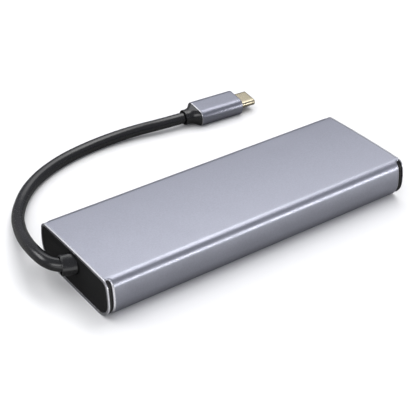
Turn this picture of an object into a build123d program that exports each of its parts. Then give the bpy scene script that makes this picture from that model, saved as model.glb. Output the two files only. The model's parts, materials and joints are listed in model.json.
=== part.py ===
"""Laptop docking station: a slim USB-C hub in an extruded aluminium sleeve, on a short captive lead.

Millimetres, +Z up. X runs along the body and the lead leaves its -X end. The blank long side faces -Y and
the ports face +Y. The origin is the middle of the underside.
"""

import os
from math import cos, pi, radians, sin, sqrt, tan

from build123d import *

os.makedirs("parts", exist_ok=True)

# ---------------------------------------------------------------- driving dimensions: body
SLEEVE_LENGTH = 117.8
BODY_WIDTH = 41.8
BODY_HEIGHT = 15.2
TOP_CROWN = 0.3  # the top's middle stands this much above its long edges
SIDE_BULGE = 1.1  # the sides' middle stands this far outside their top and bottom edges
UPPER_RADIUS = 3.3  # of the section's upper corners
LOWER_RADIUS = 6.8  # of the section's lower corners
SLEEVE_WALL = 1.2
SLEEVE_CHAMFER = 0.35
NOTCH_DEPTH = 1.35  # the side walls stop short of the ends, and the end caps show there
NOTCH_MARGIN = 0.35  # height of wall left above and below each notch
NOTCH_REACH = 3.6  # the notches reach this far in from the widest part of the sides
WINDOW_CORNER = 0.6
CARD_WINDOW_CORNER = 0.4

# ---------------------------------------------------------------- driving dimensions: ends
CAP_WALL = 1.6
CAP_GAP = 0.05  # between a cap and the sleeve
LUG_RECESS = 0.3  # the caps' lugs lie this far inside the sleeve's sides
RING_INSET = 0.12
RING_WIDTH = 0.9
RING_DEPTH = 0.5
RING_CHAMFER = 0.25
PLATE_GROOVE = 0.25  # between a trim ring and its face plate
PLATE_DEPTH = 0.4
SCREW_INSET = 4.0  # from the widest part of a side to the screws beside it
SCREW_Z = 12.0
SCREW_HEAD_D = 3.2
SCREW_HEAD_DEPTH = 0.8
SCREW_SHANK_D = 1.56
SCREW_LENGTH = 6.0
SCREW_HOLE_D = 1.6
CROSS_LENGTH = 1.76  # of the recess in a screw's head
CROSS_WIDTH = 0.45
CHANNEL_RADIUS = 1.5
CHANNEL_BRIDGE = 2.7  # height of the web that joins a screw channel to the side wall

# ---------------------------------------------------------------- driving dimensions: board
BOARD_BOTTOM = 3.4
BOARD_THICKNESS = 1.2
BOARD_EDGE_GAP = 0.3  # to the sleeve's side walls and to the end caps
BOARD_CORNER = 1.0
PAD_MARGIN = 2.5  # the thermal pad reaches this far past its chip
RAIL_OVERLAP = 0.9  # of a board rail over the board's edge
RAIL_THICKNESS = 0.8
RAIL_GAP = 0.1

# ---------------------------------------------------------------- driving dimensions: ports
PORT_RECESS = 0.5  # a port's mouth lies this far inside the widest part of the sleeve
PORT_GAP = 0.15
SHELL_WALL = 0.3
PORT_BACK = 1.5
USB_A_CORNER = 0.5
USB_A_WIDTH = 13.2
USB_A_HEIGHT = 5.7
USB_A_DEPTH = 13.5
USB_A_TONGUE = (11.1, 9.5, 1.84)  # width, reach and thickness of a tongue
USB_A_TONGUE_Z = 3.9  # a tongue's middle above the board
HDMI_WIDTH = 15.0
HDMI_HEIGHT = 5.6
HDMI_DEPTH = 11.5
HDMI_TONGUE = (11.2, 8.0, 1.1)
HDMI_TONGUE_Z = 2.9
HDMI_TAPER_WIDTH = 1.3
HDMI_TAPER_HEIGHT = 1.9
USB_C_WIDTH = 8.94
USB_C_HEIGHT = 3.16
USB_C_DEPTH = 8.0
USB_C_TONGUE = (6.7, 5.4, 0.7)
CARD_SOCKET_WIDTH = 13.6
CARD_SOCKET_HEIGHT = 1.9
CARD_SOCKET_DEPTH = 14.5
CARD_WALL = 0.2
CARD_BASE = (8.6, 5.0, 0.3)  # the contact base's width, depth and thickness
CARD_BASE_BACK = 3.5  # from the socket's back wall to the base
CARD_BASE_SHIFT = 1.2  # the base lies this far from the slider's side
STRIP_THICKNESS = 0.1  # of every contact
STRIP_SHARE = 0.55  # of the pitch that a contact fills
STRIP_END_GAP = 0.5  # from a contact to each end of its tongue
USB_C_X = 44.5
HDMI_X = 28.0
USB_A_X = (9.5, -8.0, -25.5)
CARD_X = -43.0

# ---------------------------------------------------------------- driving dimensions: card slider
SLIDER_WIDTH = 1.4
SLIDER_LENGTH = 6.0
SLIDER_HEIGHT = 0.95
SLIDER_GAP = 0.25
HEEL_REACH = 3.4
HEEL_LENGTH = 1.0
SLIDER_TRAVEL = 1.2
SPRING_D = 0.9
SPRING_LENGTH = 3.6
SPRING_WIRE = 0.16
SPRING_PITCH = 0.55

# ---------------------------------------------------------------- driving dimensions: lead and plug
CABLE_D = 4.4
COLLAR_OUT = 1.1  # the bottom of the collar's socket stands this far outside the sleeve's end
COLLAR_Y = 0.2
COLLAR_Z = 10.05
COLLAR_BASE_D = 7.1
COLLAR_LIP = 3.4  # from the bottom of the collar's socket to its rim
COLLAR_ROOT = 2.6  # from the bottom of the socket inwards
COLLAR_MOUTH_GAP = 0.6  # round the cable at the collar's rim
COLLAR_RIM = 0.55  # thickness of the collar at its rim
FLANGE_WIDTH = 11.0
FLANGE_HEIGHT = 6.6
FLANGE_DEPTH = 1.2
WIRE_D = 0.9
WIRE_SPACING = 1.5
WIRE_REACH = 3.2
WIRE_DROP = 0.5  # the wires leave the flange this far below the collar's middle
WIRE_BEND = 1.5
WIRE_COUNT = 5
PLUG_WIDTH = 11.4
PLUG_HEIGHT = 6.6
PLUG_CORNER = 2.8
PLUG_LENGTH = 18.6
PLUG_WALL = 0.7
PLUG_X = 31.9  # middle of the shell's rear face
PLUG_Y = 65.4
PLUG_YAW = -3.5  # degrees from +X
PLUG_ROLL = 4.5  # degrees, back edge up
BOOT_LENGTH = 5.4
BOOT_FLARE = 2.6
BOOT_SOCKET = 1.8
BOOT_MOUTH_GAP = 0.3  # round the cable
BOOT_WALL = 0.45
LAST_RUN = 9.0  # the lead runs straight into the boot over this length
TIP_WIDTH = 8.34
TIP_HEIGHT = 2.56
TIP_LENGTH = 6.65
TIP_ROOT = 4.0
TIP_WALL = 0.3
TONGUE_SLOT_WIDTH = 6.9
TONGUE_SLOT_HEIGHT = 0.8
TIP_CONTACT_PITCH = 0.5
TIP_CONTACT_END = 1.6  # the contacts stop this far inside the tip's rim
TIP_END_GAP = 0.3  # the insulator stops this far inside the tip's rim
NOSE_RECESS = 0.3  # the core stops this far inside the plug shell's front
PLUG_CHAMFER = 0.25

# ---------------------------------------------------------------- derived places
HALF_WIDTH = BODY_WIDTH / 2
HALF_SLEEVE = SLEEVE_LENGTH / 2
SHOULDER_Z = BODY_HEIGHT - TOP_CROWN
BOARD_TOP = BOARD_BOTTOM + BOARD_THICKNESS
CAP_INNER_X = HALF_SLEEVE - CAP_WALL
PORT_MOUTH_Y = HALF_WIDTH - PORT_RECESS
SCREW_Y = HALF_WIDTH - SCREW_INSET
side_radius = ((SHOULDER_Z / 2) ** 2 + SIDE_BULGE**2) / (2 * SIDE_BULGE)
crown_radius = ((HALF_WIDTH - SIDE_BULGE) ** 2 + TOP_CROWN**2) / (2 * TOP_CROWN)
lower_corner_y = HALF_WIDTH - side_radius + sqrt(
    (side_radius - LOWER_RADIUS) ** 2 - (LOWER_RADIUS - SHOULDER_Z / 2) ** 2
)
LEFT, RIGHT = -1, 1
ENDS = (("left", LEFT), ("right", RIGHT))
LOW = (Align.CENTER, Align.CENTER, Align.MIN)


def save(piece, name):
    """Label a finished piece and write it as one STEP file."""
    piece.part.label = name
    export_step(piece.part, f"parts/{name}.step")


def body_section(inset=0.0):
    """The body's cross-section, inset all round: flat base, crowned top, bulged sides, rounded corners."""
    with BuildSketch(Plane.YZ) as section:
        with Locations((0, inset + BODY_HEIGHT / 2)):
            Rectangle(BODY_WIDTH, BODY_HEIGHT)
        # Each circle is turned so that its seam stays off the outline.
        for side in (-1, 1):
            middle = (side * (HALF_WIDTH - side_radius), SHOULDER_Z / 2)
            with Locations(Pos(*middle) * Rot(Z=90 + 90 * side)):
                Circle(side_radius - inset, mode=Mode.INTERSECT)
        with Locations((0, BODY_HEIGHT - crown_radius)):
            Circle(crown_radius - inset, mode=Mode.INTERSECT)
        fillet(section.vertices().sort_by(Axis.Y)[:2], radius=LOWER_RADIUS - inset)
        fillet(section.vertices().sort_by(Axis.Y)[-2:], radius=UPPER_RADIUS - inset)
    return section.sketch_local


def side_wall_at(z):
    """How far from the middle the sleeve's inner side wall is, at a height within its lower corners."""
    return lower_corner_y + sqrt((LOWER_RADIUS - SLEEVE_WALL) ** 2 - (LOWER_RADIUS - z) ** 2)


# ---------------------------------------------------------------- lead: route
plug_yaw = radians(PLUG_YAW)
plug_roll = radians(PLUG_ROLL)
plug_axis = Vector(cos(plug_yaw), sin(plug_yaw), 0)
plug_side = Vector(-sin(plug_yaw) * cos(plug_roll), cos(plug_yaw) * cos(plug_roll), sin(plug_roll))
# The rolled plug rests on the round of its lower front edge.
PLUG_Z = (
    (PLUG_WIDTH / 2 - PLUG_CORNER) * sin(plug_roll)
    + (PLUG_HEIGHT / 2 - PLUG_CORNER) * cos(plug_roll)
    + PLUG_CORNER
)
plug_plane = Plane(origin=(PLUG_X, PLUG_Y, PLUG_Z), x_dir=plug_side, z_dir=plug_axis)
cable_end = plug_plane.origin - plug_axis * (BOOT_LENGTH - BOOT_SOCKET)

# From the bottom of the collar's socket, round the end of the body, along behind it and into the boot.
cable_route = [
    Vector(-60.0, 0.2, 10.05),
    Vector(-62.4, 0.9, 10.15),
    Vector(-64.7, 3.1, 10.3),
    Vector(-65.9, 6.6, 10.3),
    Vector(-65.9, 12.6, 9.8),
    Vector(-64.6, 20.6, 8.0),
    Vector(-61.6, 31.4, 5.0),
    Vector(-56.0, 45.2, 2.5),
    Vector(-44.2, 58.8, 2.25),
    Vector(-28.5, 66.8, 2.25),
    Vector(-11.5, 70.0, 2.25),
    Vector(4.8, 69.5, 2.8),
    cable_end - plug_axis * LAST_RUN,
    cable_end,
]


def corner_radii(points):
    """The largest tangent arc at each corner: 0.45 of the shorter run over the tangent of half the turn."""
    result = []
    for before, corner, after in zip(points, points[1:], points[2:]):
        run_in = corner - before
        run_out = after - corner
        half_turn = radians(run_in.get_angle(run_out)) / 2
        result.append(0.45 * min(run_in.length, run_out.length) / tan(half_turn))
    return result


cable_radii = corner_radii(cable_route)
print("cable corner radii", [round(radius, 1) for radius in cable_radii])
exit_direction = (cable_route[1] - cable_route[0]).normalized()
collar_middle = (-HALF_SLEEVE - COLLAR_OUT, COLLAR_Y, COLLAR_Z)
collar_plane = Plane(origin=collar_middle, x_dir=(0, 1, 0), z_dir=exit_direction)

# ---------------------------------------------------------------- sleeve
RAIL_LENGTH = 2 * CAP_INNER_X
board_width = 2 * (side_wall_at(BOARD_BOTTOM) - BOARD_EDGE_GAP)
rail_width = HALF_WIDTH - board_width / 2 + RAIL_OVERLAP
rail_middle = HALF_WIDTH - rail_width / 2
lower_rail_z = BOARD_BOTTOM - RAIL_GAP - RAIL_THICKNESS / 2
upper_rail_z = BOARD_TOP + RAIL_GAP + RAIL_THICKNESS / 2
bridge_width = HALF_WIDTH - SCREW_Y

with BuildPart() as housing_sleeve:
    with BuildSketch(Plane.YZ.offset(-HALF_SLEEVE)):
        add(body_section())
    extrude(amount=SLEEVE_LENGTH)
    chamfer(housing_sleeve.faces().filter_by(Axis.X).edges(), length=SLEEVE_CHAMFER)
    with BuildSketch(Plane.YZ.offset(-HALF_SLEEVE)):
        add(body_section(SLEEVE_WALL))
    extrude(amount=SLEEVE_LENGTH, mode=Mode.SUBTRACT)
    # Board rails and screw channels of the extrusion, milled back at both ends for the caps.
    with BuildSketch(Plane.YZ.offset(-RAIL_LENGTH / 2)):
        with Locations(*[(side * rail_middle, z) for side in (-1, 1) for z in (lower_rail_z, upper_rail_z)]):
            Rectangle(rail_width, RAIL_THICKNESS)
        with Locations((-SCREW_Y, SCREW_Z), (SCREW_Y, SCREW_Z)):
            Circle(CHANNEL_RADIUS)
        for side in (-1, 1):
            with Locations((side * (SCREW_Y + bridge_width / 2), SCREW_Z)):
                Rectangle(bridge_width, CHANNEL_BRIDGE)
        with Locations((-SCREW_Y, SCREW_Z), (SCREW_Y, SCREW_Z)):
            Circle(SCREW_HOLE_D / 2, mode=Mode.SUBTRACT)
        add(body_section(SLEEVE_WALL / 2), mode=Mode.INTERSECT)
    extrude(amount=RAIL_LENGTH)
    # Notches in the side walls at both ends.
    notch_height = SHOULDER_Z - 2 * NOTCH_MARGIN
    with Locations(*[(x * HALF_SLEEVE, y * HALF_WIDTH, SHOULDER_Z / 2) for x in (-1, 1) for y in (-1, 1)]):
        Box(2 * NOTCH_DEPTH, 2 * NOTCH_REACH, notch_height, mode=Mode.SUBTRACT)
    # Port windows. Each reaches as deep as its port, so it clears whatever rail or channel is in the way.
    window_plane = Plane.XZ.offset(-HALF_WIDTH - PORT_RECESS)
    windows = [(x, USB_A_WIDTH, USB_A_HEIGHT, WINDOW_CORNER, USB_A_DEPTH) for x in USB_A_X]
    windows.append((HDMI_X, HDMI_WIDTH, HDMI_HEIGHT, WINDOW_CORNER, HDMI_DEPTH))
    windows.append((USB_C_X, USB_C_WIDTH, USB_C_HEIGHT, USB_C_HEIGHT / 2, USB_C_DEPTH))
    windows.append((CARD_X, CARD_SOCKET_WIDTH, CARD_SOCKET_HEIGHT, CARD_WINDOW_CORNER, CARD_SOCKET_DEPTH))
    for x, width, height, corner, depth in windows:
        with BuildSketch(window_plane):
            with Locations((x, BOARD_TOP + height / 2)):
                RectangleRounded(width + 2 * PORT_GAP, height + 2 * PORT_GAP, corner)
        extrude(amount=2 * PORT_RECESS + depth + PORT_GAP, mode=Mode.SUBTRACT)
save(housing_sleeve, "housing_sleeve")

# ---------------------------------------------------------------- end caps, trim rings, face plates, screws
for end, side in ENDS:
    end_plane = Plane.YZ.offset(side * HALF_SLEEVE)
    screw_places = [(-SCREW_Y, SCREW_Z), (SCREW_Y, SCREW_Z)]

    with BuildPart() as end_cap:
        with BuildSketch(end_plane):
            add(body_section(SLEEVE_WALL + CAP_GAP))
        extrude(amount=-side * CAP_WALL)
        with BuildSketch(end_plane):
            with Locations((-HALF_WIDTH, SHOULDER_Z / 2), (HALF_WIDTH, SHOULDER_Z / 2)):
                Rectangle(2 * NOTCH_REACH - 2 * CAP_GAP, notch_height - 2 * CAP_GAP)
            add(body_section(LUG_RECESS), mode=Mode.INTERSECT)
        extrude(amount=-side * (NOTCH_DEPTH - CAP_GAP))
        with BuildSketch(end_plane):
            with Locations(*screw_places):
                Circle(SCREW_HEAD_D / 2 + PORT_GAP)
        extrude(amount=-side * SCREW_HEAD_DEPTH, mode=Mode.SUBTRACT)
        with BuildSketch(end_plane):
            with Locations(*screw_places):
                Circle(SCREW_SHANK_D / 2 + PORT_GAP)
        extrude(amount=-side * CAP_WALL, mode=Mode.SUBTRACT)
        if side == LEFT:
            with BuildSketch(collar_plane):
                Circle(COLLAR_BASE_D / 2 + CAP_GAP)
            extrude(amount=COLLAR_ROOT + CAP_WALL, both=True, mode=Mode.SUBTRACT)
    save(end_cap, f"{end}_end_cap")

    with BuildPart() as trim_ring:
        with BuildSketch(end_plane):
            add(body_section(RING_INSET))
        extrude(amount=side * RING_DEPTH)
        front = trim_ring.faces().sort_by(Axis.X)[-1 if side == RIGHT else 0]
        chamfer(front.edges(), length=RING_CHAMFER)
        with BuildSketch(end_plane):
            add(body_section(RING_INSET + RING_WIDTH))
        extrude(amount=side * RING_DEPTH, mode=Mode.SUBTRACT)
    save(trim_ring, f"{end}_trim_ring")

    with BuildPart() as face_plate:
        with BuildSketch(end_plane):
            add(body_section(RING_INSET + RING_WIDTH + PLATE_GROOVE))
        extrude(amount=side * PLATE_DEPTH)
        if side == LEFT:
            with BuildSketch(collar_plane):
                Circle(COLLAR_BASE_D / 2 + CAP_GAP)
            extrude(amount=COLLAR_ROOT, both=True, mode=Mode.SUBTRACT)
    save(face_plate, f"{end}_face_plate")

with BuildPart() as end_cap_screws:
    for _, side in ENDS:
        head_plane = Plane.YZ.offset(side * HALF_SLEEVE)
        with BuildSketch(head_plane.offset(-side * PORT_GAP)):
            with Locations((-SCREW_Y, SCREW_Z), (SCREW_Y, SCREW_Z)):
                Circle(SCREW_HEAD_D / 2)
        extrude(amount=-side * (SCREW_HEAD_DEPTH - PORT_GAP))
        with BuildSketch(head_plane.offset(-side * SCREW_HEAD_DEPTH)):
            with Locations((-SCREW_Y, SCREW_Z), (SCREW_Y, SCREW_Z)):
                Circle(SCREW_SHANK_D / 2)
        extrude(amount=-side * SCREW_LENGTH)
        # Cross recess of each head.
        with BuildSketch(head_plane.offset(-side * PORT_GAP)):
            with Locations((-SCREW_Y, SCREW_Z), (SCREW_Y, SCREW_Z)):
                Rectangle(CROSS_LENGTH, CROSS_WIDTH)
                Rectangle(CROSS_WIDTH, CROSS_LENGTH)
        extrude(amount=-side * SCREW_HEAD_DEPTH / 2, mode=Mode.SUBTRACT)
save(end_cap_screws, "end_cap_screws")

# ---------------------------------------------------------------- board
board_length = 2 * (CAP_INNER_X - BOARD_EDGE_GAP)
with BuildPart() as main_board:
    with BuildSketch(Plane.XY.offset(BOARD_BOTTOM)):
        RectangleRounded(board_length, board_width, BOARD_CORNER)
    extrude(amount=BOARD_THICKNESS)
save(main_board, "main_board")

# Flat parts on the board: name, then x, y, length, width and height of each.
BOARD_PARTS = {
    "hub_chip": [(-12.0, -7.0, 9.0, 9.0, 0.9)],
    "display_chip": [(28.0, -5.0, 8.0, 8.0, 0.9)],
    "power_chip": [(44.0, -6.0, 5.0, 5.0, 0.8)],
    "card_reader_chip": [(-40.0, -6.0, 5.0, 5.0, 0.8)],
    "crystals": [(-2.0, -11.0, 3.2, 2.5, 0.7), (36.5, -12.0, 3.2, 2.5, 0.7)],
    "inductors": [(50.5, -8.0, 4.0, 4.0, 2.0), (50.5, -14.0, 4.0, 4.0, 2.0), (12.0, -13.0, 3.0, 3.0, 1.5)],
    "capacitors": [(x, -16.5, 2.0, 1.2, 1.0) for x in (-46, -40, -34, -28, -22, -16, -10, -4, 2, 20, 26, 32)],
}
for name, places in BOARD_PARTS.items():
    with BuildPart() as board_part:
        for x, y, length, width, height in places:
            with Locations((x, y, BOARD_TOP)):
                Box(length, width, height, align=LOW)
    save(board_part, name)

hub_x, hub_y, hub_length, hub_width, _ = BOARD_PARTS["hub_chip"][0]
with BuildPart() as thermal_pad:
    with Locations((hub_x, hub_y, SLEEVE_WALL)):
        Box(hub_length + 2 * PAD_MARGIN, hub_width + 2 * PAD_MARGIN, BOARD_BOTTOM - SLEEVE_WALL, align=LOW)
save(thermal_pad, "thermal_pad")

# ---------------------------------------------------------------- ports
mouth_plane = Plane.XZ.offset(-PORT_MOUTH_Y)  # local x is X, local y is Z, and +z goes into the body


def usb_a_outline(shrink=0.0):
    """USB-A shell outline, inset all round."""
    with BuildSketch() as outline:
        with Locations((0, USB_A_HEIGHT / 2)):
            RectangleRounded(USB_A_WIDTH - 2 * shrink, USB_A_HEIGHT - 2 * shrink, USB_A_CORNER)
    return outline.sketch


def usb_c_outline(shrink=0.0):
    """USB-C shell outline, inset all round: straight top and bottom, nearly half-round ends."""
    height = USB_C_HEIGHT - 2 * shrink
    with BuildSketch() as outline:
        with Locations((0, USB_C_HEIGHT / 2)):
            RectangleRounded(USB_C_WIDTH - 2 * shrink, height, 0.49 * height)
    return outline.sketch


def hdmi_outline(shrink=0.0):
    """HDMI shell outline, inset all round: a rectangle with both lower corners cut off."""
    half = HDMI_WIDTH / 2
    lower = half - HDMI_TAPER_WIDTH
    with BuildSketch() as outline:
        with BuildLine():
            Polyline(
                (-half, HDMI_HEIGHT),
                (half, HDMI_HEIGHT),
                (half, HDMI_TAPER_HEIGHT),
                (lower, 0),
                (-lower, 0),
                (-half, HDMI_TAPER_HEIGHT),
                close=True,
            )
        make_face()
        if shrink:
            offset(amount=-shrink, kind=Kind.INTERSECTION, mode=Mode.REPLACE)
    return outline.sketch


def make_port(name, x, outline, depth, tongue_size, tongue_z, contacts):
    """A drawn metal shell on the board, closed at its back, with a plastic tongue and contact strips inside."""
    place = mouth_plane * Location((x, BOARD_TOP, 0))
    with BuildPart() as shell:
        with BuildSketch(place):
            add(outline())
        extrude(amount=depth)
        with BuildSketch(place):
            add(outline(SHELL_WALL))
        extrude(amount=depth - PORT_BACK, mode=Mode.SUBTRACT)
    save(shell, f"{name}_port")

    width, reach, thickness = tongue_size
    middle_y = PORT_MOUTH_Y - depth + PORT_BACK + reach / 2
    with BuildPart() as tongue:
        with Locations((x, middle_y, BOARD_TOP + tongue_z)):
            Box(width, reach, thickness)
    save(tongue, f"{name}_tongue")

    pitch = width / (contacts + 0.5)
    strip_z = BOARD_TOP + tongue_z - (thickness + STRIP_THICKNESS) / 2
    with BuildPart() as strips:
        with Locations((x, middle_y, strip_z)):
            with GridLocations(pitch, 1, contacts, 1):
                Box(STRIP_SHARE * pitch, reach - 2 * STRIP_END_GAP, STRIP_THICKNESS)
    save(strips, f"{name}_contacts")


for number, x in enumerate(USB_A_X, start=1):
    make_port(f"usb_a_{number}", x, usb_a_outline, USB_A_DEPTH, USB_A_TONGUE, USB_A_TONGUE_Z, 4)
make_port("hdmi", HDMI_X, hdmi_outline, HDMI_DEPTH, HDMI_TONGUE, HDMI_TONGUE_Z, 10)
make_port("usb_c", USB_C_X, usb_c_outline, USB_C_DEPTH, USB_C_TONGUE, USB_C_HEIGHT / 2, 8)

# ---------------------------------------------------------------- push-push card socket
with BuildPart() as card_socket:
    with BuildSketch(mouth_plane):
        with Locations((CARD_X, BOARD_TOP + CARD_SOCKET_HEIGHT / 2)):
            Rectangle(CARD_SOCKET_WIDTH, CARD_SOCKET_HEIGHT)
    extrude(amount=CARD_SOCKET_DEPTH)
    with BuildSketch(mouth_plane):
        with Locations((CARD_X, BOARD_TOP + CARD_SOCKET_HEIGHT / 2)):
            Rectangle(CARD_SOCKET_WIDTH - 2 * CARD_WALL, CARD_SOCKET_HEIGHT - 2 * CARD_WALL)
    extrude(amount=CARD_SOCKET_DEPTH - CARD_WALL, mode=Mode.SUBTRACT)
save(card_socket, "card_socket")

card_floor = BOARD_TOP + CARD_WALL
card_back_y = PORT_MOUTH_Y - CARD_SOCKET_DEPTH + CARD_WALL
slider_x = CARD_X + CARD_SOCKET_WIDTH / 2 - CARD_WALL - SLIDER_GAP - SLIDER_WIDTH / 2
slider_inner_x = slider_x - SLIDER_WIDTH / 2
slider_z = card_floor + SLIDER_GAP
slider_inner_y = card_back_y + SPRING_LENGTH
base_width, base_depth, base_height = CARD_BASE
with BuildPart() as card_contact_base:
    with Locations((CARD_X - CARD_BASE_SHIFT, card_back_y + CARD_BASE_BACK + base_depth / 2, card_floor)):
        Box(base_width, base_depth, base_height, align=LOW)
save(card_contact_base, "card_contact_base")

with BuildPart() as card_slider:
    with Locations((slider_x, slider_inner_y + SLIDER_LENGTH / 2, slider_z)):
        Box(SLIDER_WIDTH, SLIDER_LENGTH, SLIDER_HEIGHT, align=LOW)
    heel_height = SLIDER_HEIGHT - base_height
    with Locations((slider_inner_x - HEEL_REACH / 2, slider_inner_y + HEEL_LENGTH / 2, slider_z + base_height)):
        Box(HEEL_REACH, HEEL_LENGTH, heel_height, align=LOW)
save(card_slider, "card_slider")

spring_start = (slider_x, card_back_y + SPRING_WIRE, slider_z + SLIDER_HEIGHT / 2)
spring_radius = (SPRING_D - SPRING_WIRE) / 2
with BuildPart() as slider_spring:
    with BuildLine():
        coil = Helix(
            SPRING_PITCH, SPRING_LENGTH - 2 * SPRING_WIRE, spring_radius, center=spring_start, direction=(0, 1, 0)
        )
    with BuildSketch(Plane(origin=coil @ 0, z_dir=coil % 0)):
        Circle(SPRING_WIRE / 2)
    sweep(is_frenet=True)
save(slider_spring, "slider_spring")

# ---------------------------------------------------------------- lead: collar and inner wires
collar_mouth = CABLE_D + 2 * COLLAR_MOUTH_GAP
collar_end = collar_mouth + 2 * COLLAR_RIM
with BuildPart(collar_plane) as cable_collar:
    with Locations((0, 0, -COLLAR_ROOT)):
        Cylinder(COLLAR_BASE_D / 2, COLLAR_ROOT, align=LOW)
    Cone(COLLAR_BASE_D / 2, collar_end / 2, COLLAR_LIP, align=LOW)
    Cone(CABLE_D / 2 + CAP_GAP, collar_mouth / 2, COLLAR_LIP, align=LOW, mode=Mode.SUBTRACT)
    with BuildSketch(Plane.YZ.offset(-CAP_INNER_X)):
        with Locations((0, COLLAR_Z)):
            Rectangle(FLANGE_WIDTH, FLANGE_HEIGHT)
    extrude(amount=FLANGE_DEPTH)
save(cable_collar, "cable_collar")

wire_start_x = -CAP_INNER_X + FLANGE_DEPTH
with BuildPart() as lead_wires:
    for index in range(WIRE_COUNT):
        y = (index - (WIRE_COUNT - 1) / 2) * WIRE_SPACING
        start = Vector(wire_start_x, y, COLLAR_Z - WIRE_DROP)
        corner = start + Vector(WIRE_REACH, 0, 0)
        foot = Vector(corner.X, y, BOARD_TOP)
        with BuildLine():
            FilletPolyline(start, corner, foot, radius=WIRE_BEND)
        with BuildSketch(Plane(origin=start, z_dir=(1, 0, 0))):
            Circle(WIRE_D / 2)
        sweep()
save(lead_wires, "lead_wires")

# ---------------------------------------------------------------- lead: cable
with BuildPart() as cable:
    with BuildLine() as cable_path:
        FilletPolyline(*cable_route, radius=cable_radii)
    with BuildSketch(Plane(origin=cable_route[0], z_dir=exit_direction)):
        Circle(CABLE_D / 2)
    sweep()
save(cable, "cable")
path_length = sum(edge.length for edge in cable_path.edges())
section_volume = path_length * pi * (CABLE_D / 2) ** 2
print("cable length", round(path_length, 2), "volume over section times length", cable.part.volume / section_volume)

# ---------------------------------------------------------------- plug
def plug_outline(shrink=0.0):
    """The plug shell's cross-section, inset all round."""
    with BuildSketch() as outline:
        RectangleRounded(PLUG_WIDTH - 2 * shrink, PLUG_HEIGHT - 2 * shrink, PLUG_CORNER - shrink)
    return outline.sketch


def tip_outline(shrink=0.0):
    """The plug tip's cross-section, inset all round: straight top and bottom, half-round ends."""
    height = TIP_HEIGHT - 2 * shrink
    with BuildSketch() as outline:
        RectangleRounded(TIP_WIDTH - 2 * shrink, height, 0.49 * height)
    return outline.sketch


with BuildPart() as plug_shell:
    with BuildSketch(plug_plane):
        add(plug_outline())
    extrude(amount=PLUG_LENGTH)
    chamfer(plug_shell.faces().filter_by(Axis(plug_plane.origin, plug_axis)).edges(), length=PLUG_CHAMFER)
    with BuildSketch(plug_plane):
        add(plug_outline(PLUG_WALL))
    extrude(amount=PLUG_LENGTH, mode=Mode.SUBTRACT)
save(plug_shell, "plug_shell")

tip_start = PLUG_LENGTH - TIP_ROOT
with BuildPart() as plug_core:
    with BuildSketch(plug_plane):
        add(plug_outline(PLUG_WALL))
    extrude(amount=PLUG_LENGTH - NOSE_RECESS)
    with BuildSketch(plug_plane.offset(tip_start)):
        add(tip_outline())
    extrude(amount=TIP_ROOT, mode=Mode.SUBTRACT)
save(plug_core, "plug_core")

with BuildPart() as plug_tip:
    with BuildSketch(plug_plane.offset(tip_start)):
        add(tip_outline())
    extrude(amount=TIP_ROOT + TIP_LENGTH)
    with BuildSketch(plug_plane.offset(tip_start)):
        add(tip_outline(TIP_WALL))
    extrude(amount=TIP_ROOT + TIP_LENGTH, mode=Mode.SUBTRACT)
save(plug_tip, "plug_tip")

with BuildPart() as tip_insulator:
    with BuildSketch(plug_plane.offset(tip_start)):
        add(tip_outline(TIP_WALL))
    extrude(amount=TIP_ROOT + TIP_LENGTH - TIP_END_GAP)
    with BuildSketch(plug_plane.offset(PLUG_LENGTH)):
        Rectangle(TONGUE_SLOT_WIDTH, TONGUE_SLOT_HEIGHT)
    extrude(amount=TIP_LENGTH, mode=Mode.SUBTRACT)
save(tip_insulator, "tip_insulator")

with BuildPart() as tip_contacts:
    with BuildSketch(plug_plane.offset(PLUG_LENGTH)):
        for row in (-1, 1):
            with Locations((0, row * (TONGUE_SLOT_HEIGHT - STRIP_THICKNESS) / 2)):
                with GridLocations(TIP_CONTACT_PITCH, 1, 12, 1):
                    Rectangle(TIP_CONTACT_PITCH / 2, STRIP_THICKNESS)
    extrude(amount=TIP_LENGTH - TIP_CONTACT_END)
save(tip_contacts, "tip_contacts")

boot_neck = plug_plane.offset(-BOOT_FLARE)
boot_mouth = CABLE_D + 2 * BOOT_MOUTH_GAP
boot_outer = boot_mouth + 2 * BOOT_WALL
with BuildPart() as plug_boot:
    with BuildSketch(plug_plane):
        add(plug_outline(PLUG_WALL))
    with BuildSketch(boot_neck):
        Circle(boot_outer / 2)
    loft()
    with BuildSketch(boot_neck):
        Circle(boot_outer / 2)
    extrude(amount=-(BOOT_LENGTH - BOOT_FLARE))
    with BuildSketch(plug_plane.offset(-BOOT_LENGTH)):
        Circle(boot_mouth / 2)
    extrude(amount=BOOT_SOCKET, mode=Mode.SUBTRACT)
save(plug_boot, "plug_boot")
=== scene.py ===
"""Laptop docking station with a captive USB-C lead: its visible surfaces, finishes, lights and camera.

Everything is in metres, in the frame of the CAD model: X along the body with the lead at its -X end,
-Y the blank long side, +Y the ports, Z up, origin in the middle of the underside.
"""

import json
from math import cos, pi, radians, sin

import bpy
import numpy as np
from bpy.props import FloatProperty, FloatVectorProperty, IntProperty, PointerProperty
from mathutils import Matrix, Vector


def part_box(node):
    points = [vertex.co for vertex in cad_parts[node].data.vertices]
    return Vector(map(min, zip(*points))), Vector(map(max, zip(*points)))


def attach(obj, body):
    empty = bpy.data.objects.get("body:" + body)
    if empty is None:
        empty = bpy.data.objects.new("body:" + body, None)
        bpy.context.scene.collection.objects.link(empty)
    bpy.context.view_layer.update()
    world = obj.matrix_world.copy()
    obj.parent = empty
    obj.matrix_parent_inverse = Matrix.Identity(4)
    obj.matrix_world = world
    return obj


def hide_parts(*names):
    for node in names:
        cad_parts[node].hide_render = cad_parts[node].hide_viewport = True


bl_info = {
    "name": "Laptop docking station",
    "version": (1, 0, 0),
    "blender": (4, 5, 0),
    "location": "View3D > Sidebar > Dock",
    "description": "Builds a slim USB-C docking station, its lead and plug around the CAD frame",
    "category": "Add Mesh",
}

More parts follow.
